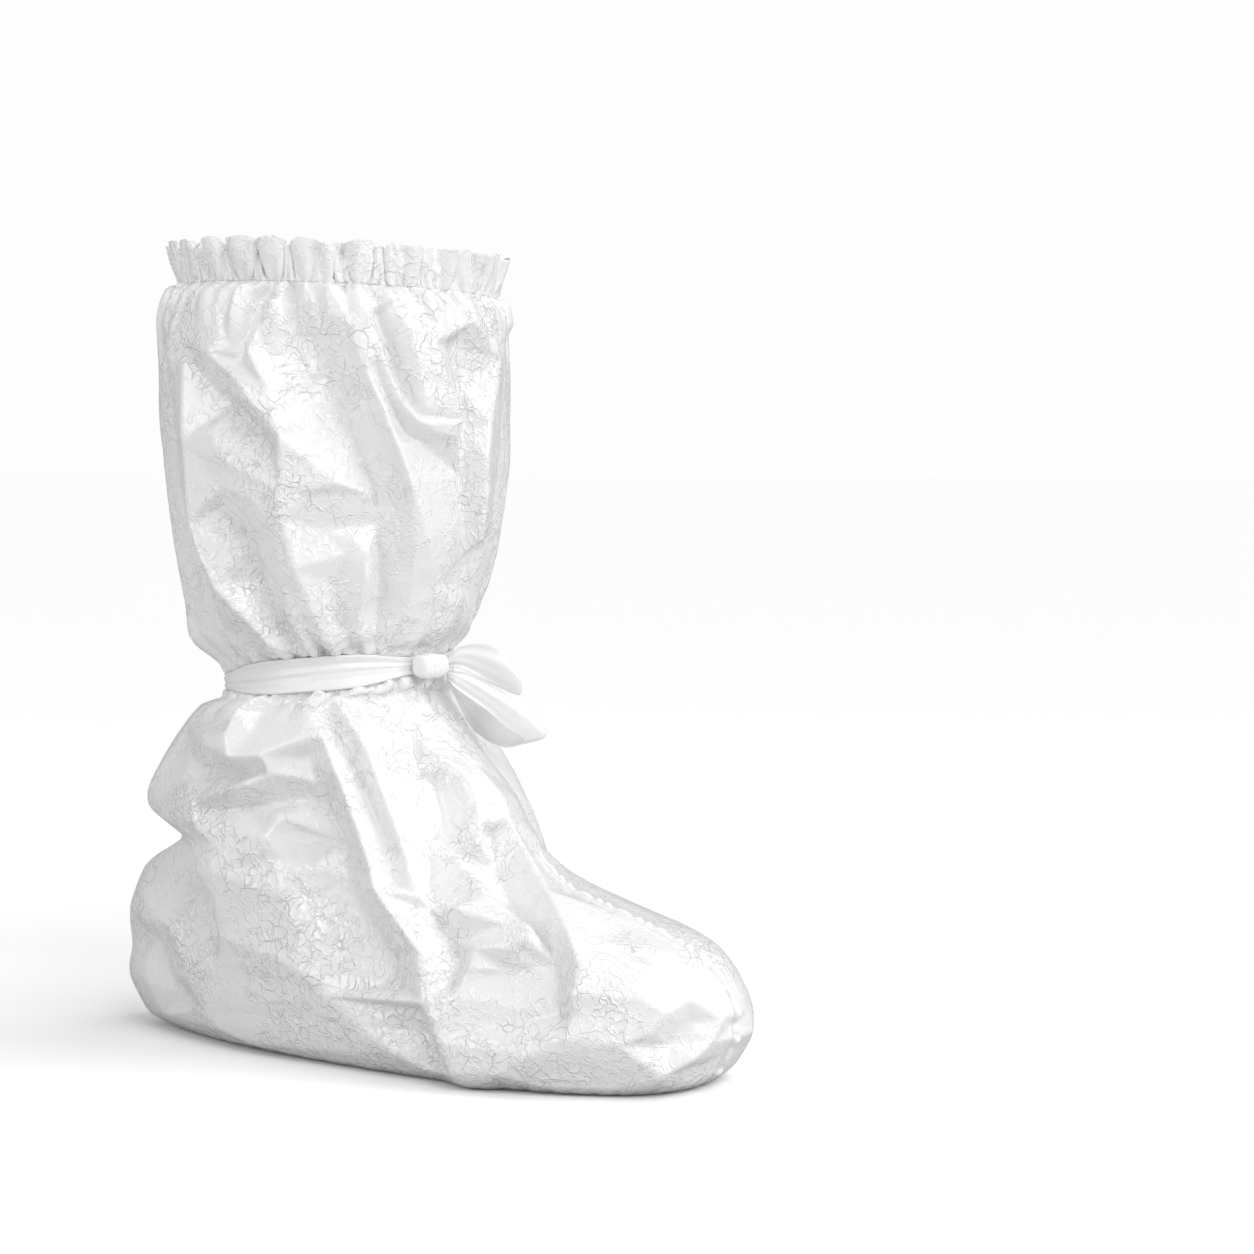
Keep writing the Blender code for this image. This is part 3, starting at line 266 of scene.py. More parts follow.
# Foot: reaches are shares of the heel and toe reach, heights are shares of the tie height,
# near and far are shares of the sole's half width; "square" is the power of the outline and
# "taper" how much wider it is at the toe than at the heel.
FootSection = namedtuple(
    "FootSection", "name down back back_up front front_up near far square taper"
)
FOOT_SECTIONS = named_rows(
    FootSection,
    ("skirt", 1.10, 0.570, 0.905, 0.244, 0.950, 1.03, 1.03, 2.0, 0.0),
    ("upper bulge", 1.17, 0.690, 0.834, 0.302, 0.855, 1.12, 1.10, 2.0, 0.03),
    ("bulge", 1.26, 0.860, 0.665, 0.398, 0.735, 1.17, 1.13, 2.0, 0.05),
    ("heel notch", 1.37, 0.705, 0.562, 0.470, 0.590, 1.13, 1.08, 2.0, 0.08),
    ("upper heel", 1.47, 0.880, 0.454, 0.558, 0.488, 1.12, 1.02, 2.05, 0.14),
    ("heel", 1.58, 0.992, 0.320, 0.738, 0.412, 1.10, 0.98, 2.1, 0.22),
    ("low heel", 1.68, 0.985, 0.222, 0.897, 0.342, 1.10, 0.97, 2.2, 0.30),
    ("toe", 1.78, 1.010, 0.148, 0.978, 0.228, 1.10, 0.97, 2.3, 0.36),
    ("lower edge", 1.89, 0.945, 0.064, 0.972, 0.108, 1.06, 0.97, 2.4, 0.42),
    ("sole edge", 2.00, 0.850, 0.000, 0.925, 0.000, 0.97, 0.91, 2.4, 0.50),
)
BALL_SHARE = 0.5

# Folds of the film, each a line of stations: round and down in thousandths, and how far the fold
# stands out of (or dips into) the bag in tenths of the fold depth
FOLD_DEPTH = 0.007
FOLDS = {
    # Shaft, near side
    "back edge of the shaft": ((205, 200, 2), (207, 400, 4), (210, 600, 7), (223, 670, 9),
        (240, 750, 11), (265, 830, 10), (290, 900, 8), (308, 940, 4)),
    "hollow beside the back edge": ((235, 570, -3), (262, 660, -8), (272, 760, -9), (293, 840, -8),
        (308, 910, -4)),
    "inner back ridge": ((250, 510, 2), (285, 550, 5), (302, 640, 6), (307, 750, 6), (315, 860, 5),
        (322, 930, 2)),
    "near ridge": ((300, 60, 3), (286, 180, 6), (304, 280, 7), (314, 390, 10), (311, 520, 9),
        (313, 600, 9), (322, 710, 9), (334, 810, 7), (352, 910, 4)),
    "slanting ridge": ((215, 160, 3), (245, 185, 5), (270, 235, 6), (287, 300, 7), (314, 390, 10)),
    "slanting hollow": ((215, 205, -2), (235, 265, -7), (260, 315, -9), (285, 370, -8),
        (302, 405, -3)),
    "patch below the hollow": ((240, 380, 2), (262, 450, 4)),
    "cuff lobe": ((270, 40, 5), (270, 100, 6), (266, 185, 4)),
    "valley by the cuff lobe": ((284, 50, -5), (281, 120, -5), (276, 205, -1)),
    "back cuff lobe": ((205, 50, 4), (190, 120, 5), (183, 200, 3)),
    "long valley": ((325, 50, -5), (333, 130, -9), (350, 200, -10), (363, 290, -10),
        (378, 400, -10), (395, 520, -9), (400, 620, -8), (404, 720, -7), (407, 820, -6),
        (412, 920, -3)),
    "long ridge": ((355, 30, 4), (372, 110, 8), (384, 220, 10), (396, 305, 10), (409, 410, 10),
        (420, 500, 10), (432, 580, 8), (442, 650, 7), (455, 720, 6), (465, 780, 5), (475, 850, 3)),
    "shin ridge": ((420, 500, 10), (426, 620, 6), (434, 740, 6), (438, 850, 5), (435, 930, 3)),
    "pouch ridge": ((385, 80, 7), (396, 160, 8), (406, 240, 8), (417, 310, 8), (430, 350, 8),
        (443, 375, 5)),
    "pouch edge": ((392, 210, 4), (403, 290, 1), (415, 345, -2), (427, 390, -5), (442, 410, -4)),
    "pouch hollow": ((396, 80, 0), (405, 150, -3), (411, 220, -5), (421, 280, -5), (434, 335, -2)),
    "front ridge": ((413, 40, 4), (421, 110, 7), (427, 180, 7), (432, 260, 5), (438, 320, 3)),
    "outer front ridge": ((437, 50, 3), (445, 150, 6), (453, 210, 7), (466, 290, 6), (478, 350, 4),
        (476, 400, 1)),
    "front cuff lobe": ((460, 30, 3), (490, 90, 6)),
    "front hollow": ((470, 150, -3), (485, 250, -6), (495, 380, -8), (497, 500, -8),
        (503, 620, -7), (510, 720, -5), (520, 790, -3)),
    "front edge ridge": ((540, 180, 3), (528, 260, 5), (515, 350, 5), (509, 450, 6), (514, 550, 6),
        (520, 660, 3)),
    "low front ridge": ((515, 800, 4), (502, 840, 6), (497, 890, 5), (492, 940, 2)),
    "facet lip": ((313, 600, 9), (328, 535, 5), (360, 510, 4), (390, 540, -4)),
    "facet foot": ((325, 610, 1), (345, 640, -4), (375, 660, -4)),
    "low facet": ((387, 700, 2), (389, 750, 5), (386, 810, 5), (385, 900, 3)),
    "low hollow": ((368, 700, -3), (360, 780, -4), (364, 880, -3)),
    # Shaft, back
    "back ridge": ((50, 100, 2), (60, 400, 2), (50, 700, 3), (60, 920, 1)),
    "back hollow": ((90, 120, -3), (100, 400, -5), (90, 750, -5)),
    "near back ridge": ((140, 100, 2), (135, 350, 0), (145, 600, 1), (150, 880, 5)),
    "near back hollow": ((175, 250, -2), (175, 500, -3), (190, 720, -5), (220, 880, -4)),
    # Shaft, far side
    "far shin ridge": ((600, 80, 0), (610, 250, 1), (600, 450, 1), (585, 650, 1), (570, 900, 1)),
    "far shin hollow": ((570, 150, -2), (560, 400, -3), (550, 650, -3)),
    "far front ridge": ((660, 60, 5), (680, 300, 9), (665, 550, 10), (640, 780, 8), (630, 920, 3)),
    "far front hollow": ((635, 120, -5), (645, 350, -9), (630, 600, -8), (605, 850, -4)),
    "far ridge": ((730, 60, 4), (735, 220, 7), (745, 420, 10), (720, 650, 9), (700, 900, 5)),
    "far hollow": ((700, 140, -6), (712, 350, -8), (695, 600, -7), (670, 850, -4)),
    "far back ridge": ((800, 50, 4), (800, 250, 8), (790, 500, 9), (775, 750, 7), (770, 920, 3)),
    "far back hollow": ((770, 120, -4), (775, 350, -8), (755, 600, -8), (740, 850, -5)),
    "far heel-side ridge": ((870, 80, 3), (865, 350, 7), (850, 600, 9), (840, 850, 6)),
    "far heel-side hollow": ((840, 150, -5), (832, 400, -7), (815, 680, -6), (810, 880, -3)),
    "far outer back ridge": ((930, 100, 3), (935, 450, 6), (925, 800, 5)),
    "far outer back hollow": ((900, 150, -3), (905, 450, -6), (885, 750, -5)),
    # Foot, near side
    "wedge under the tie": ((262, 1075, 4), (252, 1120, 8), (248, 1165, 10), (256, 1203, 10)),
    "hollow beside the wedge": ((276, 1075, -6), (274, 1120, -4), (272, 1160, 1)),
    "hollow behind the wedge": ((238, 1075, -5), (230, 1130, -3)),
    "pouch lip": ((195, 1170, 3), (222, 1187, 7), (256, 1203, 10), (285, 1200, 9), (318, 1180, 8),
        (337, 1135, 5)),
    "hollow below the pouch": ((185, 1205, -5), (220, 1225, -10), (255, 1230, -9),
        (282, 1222, -3)),
    "brow": ((212, 1275, 6), (240, 1257, 9), (264, 1243, 9), (290, 1226, 5)),
    "hollow below the brow": ((218, 1292, -1), (245, 1293, -8), (275, 1283, -9), (305, 1260, -9),
        (330, 1235, -6)),
    "flap edge": ((212, 1275, 6), (203, 1315, 9), (206, 1370, 10), (216, 1445, 12),
        (213, 1500, 10), (204, 1600, 8), (187, 1700, 6), (173, 1845, 5), (182, 1900, 5),
        (200, 1945, 4)),
    "flap crease": ((216, 1445, 12), (240, 1390, 8), (262, 1345, 6), (285, 1305, 3)),
    "point ridge": ((267, 1400, 3), (266, 1500, 5), (257, 1610, 6), (243, 1690, 9)),
    "point hollow": ((287, 1340, -3), (284, 1420, -7), (280, 1500, -8), (270, 1600, -6),
        (254, 1680, -1)),
    "ridge from the point": ((243, 1690, 9), (250, 1765, 6), (260, 1840, 4), (275, 1905, 4),
        (288, 1955, 2)),
    "bulge lip": ((50, 1290, 4), (100, 1290, 5), (140, 1300, 7), (158, 1360, 8), (180, 1405, 9),
        (198, 1450, 10), (213, 1500, 10)),
    "hollow below the bulge": ((50, 1400, -3), (100, 1390, -4), (145, 1410, -9), (172, 1460, -12),
        (190, 1520, -11), (196, 1600, -6)),
    "bulge crease": ((140, 1150, -2), (165, 1180, -5), (182, 1240, -3)),
    "heel ridge": ((150, 1600, 3), (155, 1680, 5), (163, 1760, 5), (173, 1845, 5)),
    "heel hollow": ((125, 1660, -1), (135, 1760, -3), (155, 1830, -3)),
    "heel back": ((45, 1490, 5), (50, 1580, 5), (50, 1680, 5), (55, 1800, 4), (60, 1930, 3)),
    "heel pucker": ((105, 1700, 3), (112, 1800, 4), (118, 1900, 3)),
    "side ridge": ((337, 1135, 5), (346, 1170, 9), (350, 1240, 12), (346, 1320, 12),
        (340, 1420, 11), (332, 1490, 10), (323, 1570, 10), (312, 1650, 10), (297, 1765, 10)),
    "side hollow": ((325, 1200, -3), (325, 1280, -9), (321, 1360, -9), (313, 1450, -8),
        (302, 1550, -8), (288, 1650, -7), (280, 1730, -4)),
    "crease beside the side ridge": ((355, 1130, -2), (366, 1200, -3), (365, 1280, -3),
        (360, 1360, -2), (351, 1450, 0)),
    "tongue ridge": ((362, 1090, 3), (376, 1150, 7), (381, 1210, 8), (378, 1270, 8),
        (373, 1340, 7), (369, 1420, 6), (360, 1490, 3)),
    "knot valley": ((465, 1080, -3), (450, 1150, -5), (430, 1220, -7), (410, 1290, -8),
        (395, 1360, -9), (377, 1440, -9), (360, 1510, -8), (344, 1580, -7), (326, 1660, -6),
        (309, 1740, -2)),
    "wedge ridge": ((446, 1200, 1), (457, 1240, 6), (457, 1290, 8), (448, 1340, 7),
        (440, 1380, 4)),
    "wedge hollow": ((440, 1245, -8), (428, 1310, -8), (417, 1380, -6)),
    "instep ridge": ((487, 1230, 3), (486, 1290, 8), (480, 1350, 10), (474, 1410, 11),
        (462, 1480, 11), (442, 1530, 10), (423, 1580, 9), (408, 1625, 9), (392, 1690, 8),
        (377, 1745, 7), (372, 1790, 3)),
    "instep hollow": ((463, 1350, -2), (452, 1420, -5), (430, 1500, -6), (410, 1570, -7),
        (385, 1655, -8), (370, 1730, -8), (364, 1785, -4)),
    "triangle top": ((367, 1530, 4), (376, 1563, 5), (381, 1590, 6), (392, 1612, 9)),
    "triangle crest": ((392, 1612, 9), (400, 1560, 5), (408, 1500, 4), (415, 1440, 2)),
    "triangle foot": ((342, 1640, 3), (362, 1647, 5), (378, 1642, 7), (392, 1612, 9)),
    "band below the triangle": ((333, 1700, -3), (347, 1687, -5), (364, 1680, -6)),
    "short edge": ((342, 1640, 3), (327, 1690, 4), (311, 1745, 6), (297, 1765, 10)),
    "spear ridge": ((297, 1765, 10), (299, 1850, 10), (304, 1920, 11), (312, 1980, 9)),
    "spear lower edge": ((312, 1980, 9), (330, 1925, 8), (348, 1875, 7), (366, 1835, 6)),
    "spear hollow": ((285, 1790, -4), (287, 1860, -7), (292, 1925, -5)),
    "toe crest": ((484, 1765, 4), (480, 1810, 6), (470, 1850, 6), (455, 1885, 7), (436, 1920, 6)),
    "toe crease": ((433, 1790, 6), (455, 1767, 5), (484, 1765, 4)),
    "ball edge": ((430, 1630, 2), (415, 1705, 4), (421, 1760, 5), (433, 1790, 6)),
    "ball lower edge": ((433, 1790, 6), (420, 1825, 5), (400, 1850, 5), (378, 1840, 5)),
    "toe hollow": ((452, 1810, -2), (437, 1860, -3)),
    # Foot, far side
    "far instep swell": ((533, 1440, -2), (537, 1520, -2), (533, 1620, 0), (527, 1700, 2),
        (516, 1780, 2)),
    "far shin edge": ((530, 1100, -1), (535, 1200, -2), (543, 1300, 0), (552, 1400, -1)),
    "far instep ridge": ((575, 1460, 1), (590, 1540, 3), (600, 1640, 6), (615, 1760, 5)),
    "far instep hollow": ((570, 1120, -4), (575, 1230, -7), (585, 1350, -8), (605, 1460, -7),
        (622, 1560, -5)),
    "far side ridge": ((610, 1080, 4), (617, 1200, 9), (627, 1350, 11), (645, 1500, 10),
        (667, 1640, 9), (690, 1800, 6)),
    "far side hollow": ((650, 1100, -4), (655, 1240, -8), (668, 1380, -8), (690, 1520, -7),
        (710, 1660, -4)),
    "far flap edge": ((690, 1080, 4), (700, 1180, 8), (706, 1300, 9), (720, 1420, 8),
        (740, 1560, 9), (750, 1720, 7), (742, 1880, 4)),
    "far flap hollow": ((735, 1120, -4), (742, 1220, -7), (755, 1360, -7), (776, 1500, -8),
        (790, 1640, -5)),
    "far pouch lip": ((780, 1160, 5), (810, 1200, 9), (850, 1220, 9), (900, 1240, 7),
        (950, 1280, 6)),
    "far pouch hollow": ((785, 1250, -5), (830, 1285, -9), (880, 1320, -8)),
    "far heel ridge": ((790, 1340, 5), (812, 1400, 9), (820, 1500, 10), (820, 1640, 8),
        (830, 1800, 5)),
    "far heel hollow": ((850, 1400, -7), (900, 1390, -7), (945, 1400, -4)),
    "far heel back": ((955, 1500, 3), (950, 1600, 4), (950, 1750, 3), (945, 1900, 2)),
    "far low heel ridge": ((860, 1500, 2), (870, 1620, 6), (865, 1760, 5), (870, 1880, 3)),
    "far toe fold": ((522, 1810, 2), (533, 1860, 5), (560, 1900, 5)),
    "far ball fold": ((560, 1700, 5), (570, 1780, 5), (590, 1880, 3)),
}

# Where the bag stays on its smooth form: whole rings, and places down the two seams
PLAIN_DOWNS = (0.0, 0.95, 1.0, 1.05, 2.0)
BACK_SEAM_DOWNS = (0.2, 0.4, 0.6, 0.8, 1.15, 1.26, 1.37, 1.5, 1.65, 1.8, 1.9)
FRONT_SEAM_DOWNS = (1.15, 1.4, 1.5, 1.6, 1.7, 1.83, 1.9)
PLAIN_STATIONS = 24

# Gathers where the elastic and the tie draw the film together, and puckers at the sole seam:
# where they start, which way and how far they reach, how many go round, and their depth
Gather = namedtuple("Gather", "down side reach count depth")
GATHER_SEED = 40
GATHERS = (
    Gather(0.00, 1, 0.30, 26, 0.0038),
    Gather(0.00, 1, 0.15, 49, 0.0036),
    Gather(0.00, 1, 0.06, 88, 0.0013),
    Gather(0.95, -1, 0.16, 25, 0.0024),
    Gather(0.95, -1, 0.07, 47, 0.0014),
    Gather(1.05, 1, 0.13, 25, 0.0030),
    Gather(1.05, 1, 0.06, 43, 0.0016),
    Gather(2.00, -1, 0.06, 61, 0.0008),
)

# Small crumples between the folds: mean facet size and depth
Crumple = namedtuple("Crumple", "size depth seed")
CRUMPLES = (Crumple(0.028, 0.0008, 11), Crumple(0.013, 0.0003, 23))
BAG_HEIGHT = 0.42


def round_row(section, radius, height, climb, lift):
    """Back and front x, back and front z, half widths, squareness, taper, lift of the near side."""
    back, front, side = -section.back * radius, section.front * radius, section.side * radius
    return (back, front, height - climb, height + climb, side, side, 2.0, 0.0, lift)


def leg_row(section):
    height = TIE_HEIGHT + section.up * (CUFF_LINE_HEIGHT - TIE_HEIGHT)
    climb = (TIE_CLIMB * (1 - section.up) - CUFF_DROP * section.up) / 2
    return round_row(section, CALF_RADIUS, height, climb, CUFF_NEAR_LIFT * section.up)


def neck_row(section):
    height = TIE_HEIGHT + section.up * TIE_WIDTH / 2
    return round_row(section, ANKLE_RADIUS, height, TIE_CLIMB / 2, 0.0)


def foot_row(section):
    return (
        -section.back * HEEL_REACH,
        section.front * TOE_REACH,
        section.back_up * TIE_HEIGHT,
        section.front_up * TIE_HEIGHT,
        section.near * SOLE_HALF_WIDTH,
        section.far * SOLE_HALF_WIDTH,
        section.square,
        section.taper,
        0.0,
    )


SECTIONS = LEG_SECTIONS + NECK_SECTIONS + FOOT_SECTIONS
SECTION_DOWNS = np.array([s.down for s in SECTIONS])
SECTION_ROWS = np.array(
    [leg_row(s) for s in LEG_SECTIONS]
    + [neck_row(s) for s in NECK_SECTIONS]
    + [foot_row(s) for s in FOOT_SECTIONS]
)
SECTION_SLOPES = np.gradient(SECTION_ROWS, SECTION_DOWNS, axis=0)


def hermite(t, start, end, start_slope, end_slope):
    """Values on a smooth curve between two places, t from 0 to 1."""
    return (
        (1 + 2 * t) * (1 - t) ** 2 * start
        + t * (1 - t) ** 2 * start_slope
        + t**2 * (3 - 2 * t) * end
        + t**2 * (t - 1) * end_slope
    )


def section_at(down):
    """The section's values at places down the bag, on smooth curves through the tables."""
    i = np.clip(np.searchsorted(SECTION_DOWNS, down, side="right") - 1, 0, len(SECTIONS) - 2)
    span = SECTION_DOWNS[i + 1] - SECTION_DOWNS[i]
    t = ((down - SECTION_DOWNS[i]) / span)[..., None]
    span = span[..., None]
    slopes = span * SECTION_SLOPES[i], span * SECTION_SLOPES[i + 1]
    return hermite(t, SECTION_ROWS[i], SECTION_ROWS[i + 1], *slopes)


def smooth_form(rounds, downs):
    """Points of the bag's smooth form at places round and down it."""
    back, front, back_z, front_z, near, far, square, taper, lift = np.moveaxis(
        section_at(np.asarray(downs)), -1, 0
    )
    angle = 2 * math.pi * np.asarray(rounds)
    c, s = np.cos(angle), np.sin(angle)
    s = np.where(np.abs(s) < 1e-9, 0.0, s)
    power = 2.0 / square
    along = (1 - np.sign(c) * np.abs(c) ** power) / 2
    half = np.where(s >= 0, near, far) * (1 + taper * (along - BALL_SHARE))
    across = -np.sign(s) * half * np.abs(s) ** power
    x = back + (front - back) * along
    z = back_z + (front_z - back_z) * along + lift * s
    return np.stack([x, across, z - FILM], axis=-1)


def outward(rounds, downs):
    """Unit normals of the smooth form."""
    rounds, downs = np.asarray(rounds, float), np.asarray(downs, float)
    step = 0.004
    low, high = np.maximum(downs - step, 0.0), np.minimum(downs + step, 2.0)
    down_step = smooth_form(rounds, high) - smooth_form(rounds, low)
    round_step = smooth_form(rounds + step, downs) - smooth_form(rounds - step, downs)
    normals = np.cross(down_step, round_step)
    return normals / np.linalg.norm(normals, axis=-1, keepdims=True)


def plain_stations():
    """Stations that stay on the smooth form: at the cuff, the tie, the sole and both seams."""
    evenly = [k / PLAIN_STATIONS for k in range(PLAIN_STATIONS + 1)]
    stations = [(r, down, 0.0) for down in PLAIN_DOWNS for r in evenly]
    stations += [(r, down, 0.0) for down in BACK_SEAM_DOWNS for r in (0.0, 1.0)]
    stations += [(0.5, down, 0.0) for down in FRONT_SEAM_DOWNS]
    return stations


def fold_net():
    """All stations, the edges along the folds, and the triangles of the facets between."""
    stations = []
    edges = []
    for line in FOLDS.values():
        first = len(stations)
        stations.extend((r / 1000, d / 1000, out / 10) for r, d, out in line)
        edges.extend((first + k, first + k + 1) for k in range(len(line) - 1))
    stations += plain_stations()
    found = delaunay_2d_cdt([(r, d) for r, d, _ in stations], edges, [], 0, 1e-6)
    places = np.array([tuple(p) for p in found[0]])
    source = [stations[ids[0]] if ids else None for ids in found[3]]
    outs = np.array([s[2] if s else 0.0 for s in source])
    return places, outs, np.array([t[:3] for t in found[2]])


def on_facets(places, triangles, values, rounds, downs):
    """Values on a grid of the chart (rows of downs, columns of rounds), linear over each facet."""
    result = np.zeros((len(downs), len(rounds), values.shape[-1]))
    for triangle in triangles:
        corners = places[triangle]
        (ar, ad), (br, bd), (cr, cd) = corners
        area = (br - ar) * (cd - ad) - (cr - ar) * (bd - ad)
        if abs(area) < 1e-12:
            continue
        low, high = corners.min(axis=0) - 1e-9, corners.max(axis=0) + 1e-9
        c0, c1 = np.searchsorted(rounds, low[0]), np.searchsorted(rounds, high[0], side="right")
        r0, r1 = np.searchsorted(downs, low[1]), np.searchsorted(downs, high[1], side="right")
        if c0 >= c1 or r0 >= r1:
            continue
        r, d = np.meshgrid(rounds[c0:c1], downs[r0:r1])
        v = ((r - ar) * (cd - ad) - (cr - ar) * (d - ad)) / area
        w = ((br - ar) * (d - ad) - (r - ar) * (bd - ad)) / area
        inside = (v >= -1e-9) & (w >= -1e-9) & (v + w <= 1 + 1e-9)
        window = result[r0:r1, c0:c1]
        window[inside] = np.stack([1 - v - w, v, w], axis=-1)[inside] @ values[triangle]
    return result


def waves(rounds, count, seed):
    """Uneven pleats round the bag, from -1 to 1: about count of them, closed at the back."""
    rng = np.random.default_rng(seed)
    phase = 2 * math.pi * count * rounds
    for k in (1, 2, 3, 5, 8):
        phase = phase + rng.uniform(0.5, 1.1) * np.sin(2 * math.pi * (k * rounds + rng.uniform()))
    size = 0.75
    for k in (4, 7, 11):
        size = size + 0.22 * np.sin(2 * math.pi * (k * rounds + rng.uniform()))
    return (2.2 * np.abs(np.cos(phase / 2)) - 1.2) * size


def tie_narrowing(r):
    """The strip is drawn narrow at the knot and the back, and lies wide on both sides."""
    near, far = (np.exp(-(((r - place) / TIE_WIDE_REACH) ** 4)) for place in TIE_WIDE_AT)
    return TIE_NARROWEST + (1 - TIE_NARROWEST) * (near + far)


def teeth(r):
    """The tight little gathers along the elastic."""
    turn = 2 * math.pi * r
    return np.cos(TEETH_COUNT * turn + 2.5 * np.sin(7 * turn) + 1.5 * np.sin(16 * turn))


def gathers(r, d):
    """How far the gathers stand out of the bag; those by the tie start at its edge."""
    depth = TEETH_DEPTH * teeth(r) * np.exp(-((d / 0.02) ** 2))
    depth = depth - PINCH * np.exp(-((d / 0.03) ** 2))
    for k, gather in enumerate(GATHERS):
        start = gather.down
        if abs(start - 1) < 0.1:
            start = 1 + gather.side * 0.9 * HALF_DOWN * tie_narrowing(r)
        share = (d - start) * gather.side / gather.reach
        near = np.clip(1 - share, 0, 1) ** 1.5 * np.clip(share / 0.08, 0, 1) * (share > 0)
        turned = r + 0.012 * np.sin(9 * d + 5 * r)
        depth += near * gather.depth * waves(turned, gather.count, GATHER_SEED + k)
    return depth


def crumple_depth(rounds, downs, crumple):
    """Random small facets over the chart, closed at the back."""
    rng = np.random.default_rng(crumple.seed)
    wide, tall = 2 * math.pi * CALF_RADIUS, BAG_HEIGHT
    across, along = round(wide / crumple.size), round(tall / crumple.size)
    places = []
    for row in range(along + 1):
        for column in range(across):
            place = (column + rng.uniform(-0.45, 0.45) + row % 2 / 2) / across
            places.append((place, 2 * (row + rng.uniform(-0.4, 0.4)) / along))
    heights = rng.normal(0, 0.5, len(places))
    places = np.array(places)
    spread = np.concatenate([places, places + [1, 0], places - [1, 0]])
    outs = np.tile(heights, 3)[:, None]
    found = delaunay_2d_cdt([tuple(p) for p in spread], [], [], 0, 1e-9)
    triangles = np.array([t[:3] for t in found[2]])
    chart = np.array([tuple(p) for p in found[0]])
    source = np.array([ids[0] for ids in found[3]])
    return crumple.depth * on_facets(chart, triangles, outs[source], rounds, downs)[..., 0]


def patches(r, d):
    """Slow unevenness over the chart from 0 to 1, closed at the back."""
    turn = 2 * math.pi * r
    value = np.sin(3 * turn + 4.1 * d) + np.sin(5 * turn - 7.3 * d + 1) + np.sin(2 * turn + 11 * d)
    return np.clip(0.5 + value / 4, 0, 1)


def rounded(points, times):
    """Softens every crease a little, and leaves the top and bottom rows in place."""
    for _ in range(times):
        sides = (np.roll(points, 1, axis=1) + np.roll(points, -1, axis=1)) / 2
        ends = (points[:-2] + points[2:]) / 2
        points[1:-1] = points[1:-1] * 0.4 + sides[1:-1] * 0.3 + ends * 0.3
    return points


def bag_grid(rounds, downs):
    """Points of the bag on a grid of its chart: big folds, gathers, then crumples."""
    places, outs, triangles = fold_net()
    # Folds are deeper where they face the camera, but not beside the tie
    away = np.abs((places[:, 0] - FACING + 0.5) % 1.0 - 0.5)
    calmer = np.clip((np.abs(places[:, 1] - 1) - 0.08) / 0.15, 0, 1)
    outs = outs * (1 + DEEPER * calmer * np.clip((0.22 - away) / 0.08, 0, 1))
    corners = smooth_form(places[:, 0], places[:, 1])
    corners = corners + outward(places[:, 0], places[:, 1]) * (FOLD_DEPTH * outs)[:, None]
    values = np.concatenate([corners, outs[:, None]], 1)
    found = on_facets(places, triangles, values, rounds, downs)
    r, d = np.meshgrid(rounds, downs)
    normals = outward(r, d)
    curved = smooth_form(r, d) + normals * FOLD_DEPTH * found[..., 3:]
    # The facets are flat, but curved at the cuff, the tie, the sole and the outline
    flat_share = np.clip((np.abs(d - 1.0) - 0.06) / 0.06, 0, 1)
    turned = np.abs((r - FACING + 0.5) % 1.0 - 0.5)
    flat_share = flat_share * (1 - 0.75 * np.clip((turned - 0.10) / 0.12, 0, 1))
    flat_share = flat_share * np.clip(d / 0.05, 0, 1) * np.clip((2 - d) / 0.05, 0, 1)
    bag = curved + (found[..., :3] - curved) * flat_share[..., None]
    calm = np.clip(d / 0.03, 0, 1) * np.clip((np.abs(d - 1.0) - 0.05) / 0.05, 0, 1)
    calm = calm * np.clip((2 - d) / 0.05, 0, 1)
    fine = np.zeros(r.shape)
    for crumple in CRUMPLES:
        strength = 0.35 + 0.65 * patches(r + crumple.size, d)
        fine += crumple_depth(rounds, downs, crumple) * strength
    bag = rounded(bag, CREASE_ROUNDING)
    return rounded(bag + normals * (gathers(r, d) + fine * calm)[..., None], 1)


def grid_mesh(name, grid, closed=False):
    """A smooth mesh of quads over a grid of points, whose outer side looks out of the bag."""
    rows, columns = grid.shape[:2]
    faces = []
    for start in range(0, (rows - 1) * columns, columns):
        for j in range(columns if closed else columns - 1):
            a, b = start + j, start + (j + 1) % columns
            faces.append((a, a + columns, b + columns, b))
    data = bpy.data.meshes.new(name)
    data.from_pydata([tuple(p) for p in grid.reshape(-1, 3)], [], faces)
    data.update()
    data.shade_smooth()
    piece = bpy.data.objects.new(name, data)
    bpy.context.scene.collection.objects.link(piece)
    return piece


def thicken(piece, thickness, offset=0.0):
    """Gives a sheet its thickness, on both sides of its surface or (offset 1) on the outer one."""
    solidify = piece.modifiers.new("sheet", "SOLIDIFY")
    solidify.thickness = thickness
    solidify.offset = offset


Output = namedtuple("Output", "node name")


def feed(tree, value, node, socket):
    """Links a node's output to a socket, or sets the socket to a plain value."""
    if isinstance(value, Output):
        tree.links.new(value.node.outputs[value.name], node.inputs[socket])
    else:
        node.inputs[socket].default_value = value


def add_node(tree, kind, **settings):
    """A new node. Each setting goes to the input of that name, or else to the node itself."""
    node = tree.nodes.new(kind)
    for key, value in settings.items():
        if key in node.inputs:
            feed(tree, value, node, key)
        else:
            setattr(node, key, value)
    return node


def maths(tree, operation, a, b=0.0):
    node = add_node(tree, "ShaderNodeMath", operation=operation)
    feed(tree, a, node, 0)
    feed(tree, b, node, 1)
    return Output(node, "Value")


def mixed(tree, share, a, b):
    """Colour a where the share is 0, b where it is 1."""
    node = add_node(tree, "ShaderNodeMix", data_type="RGBA", Factor=share, A=a, B=b)
    return Output(node, "Result")


def grey(value):
    return (value, value, value, 1.0)


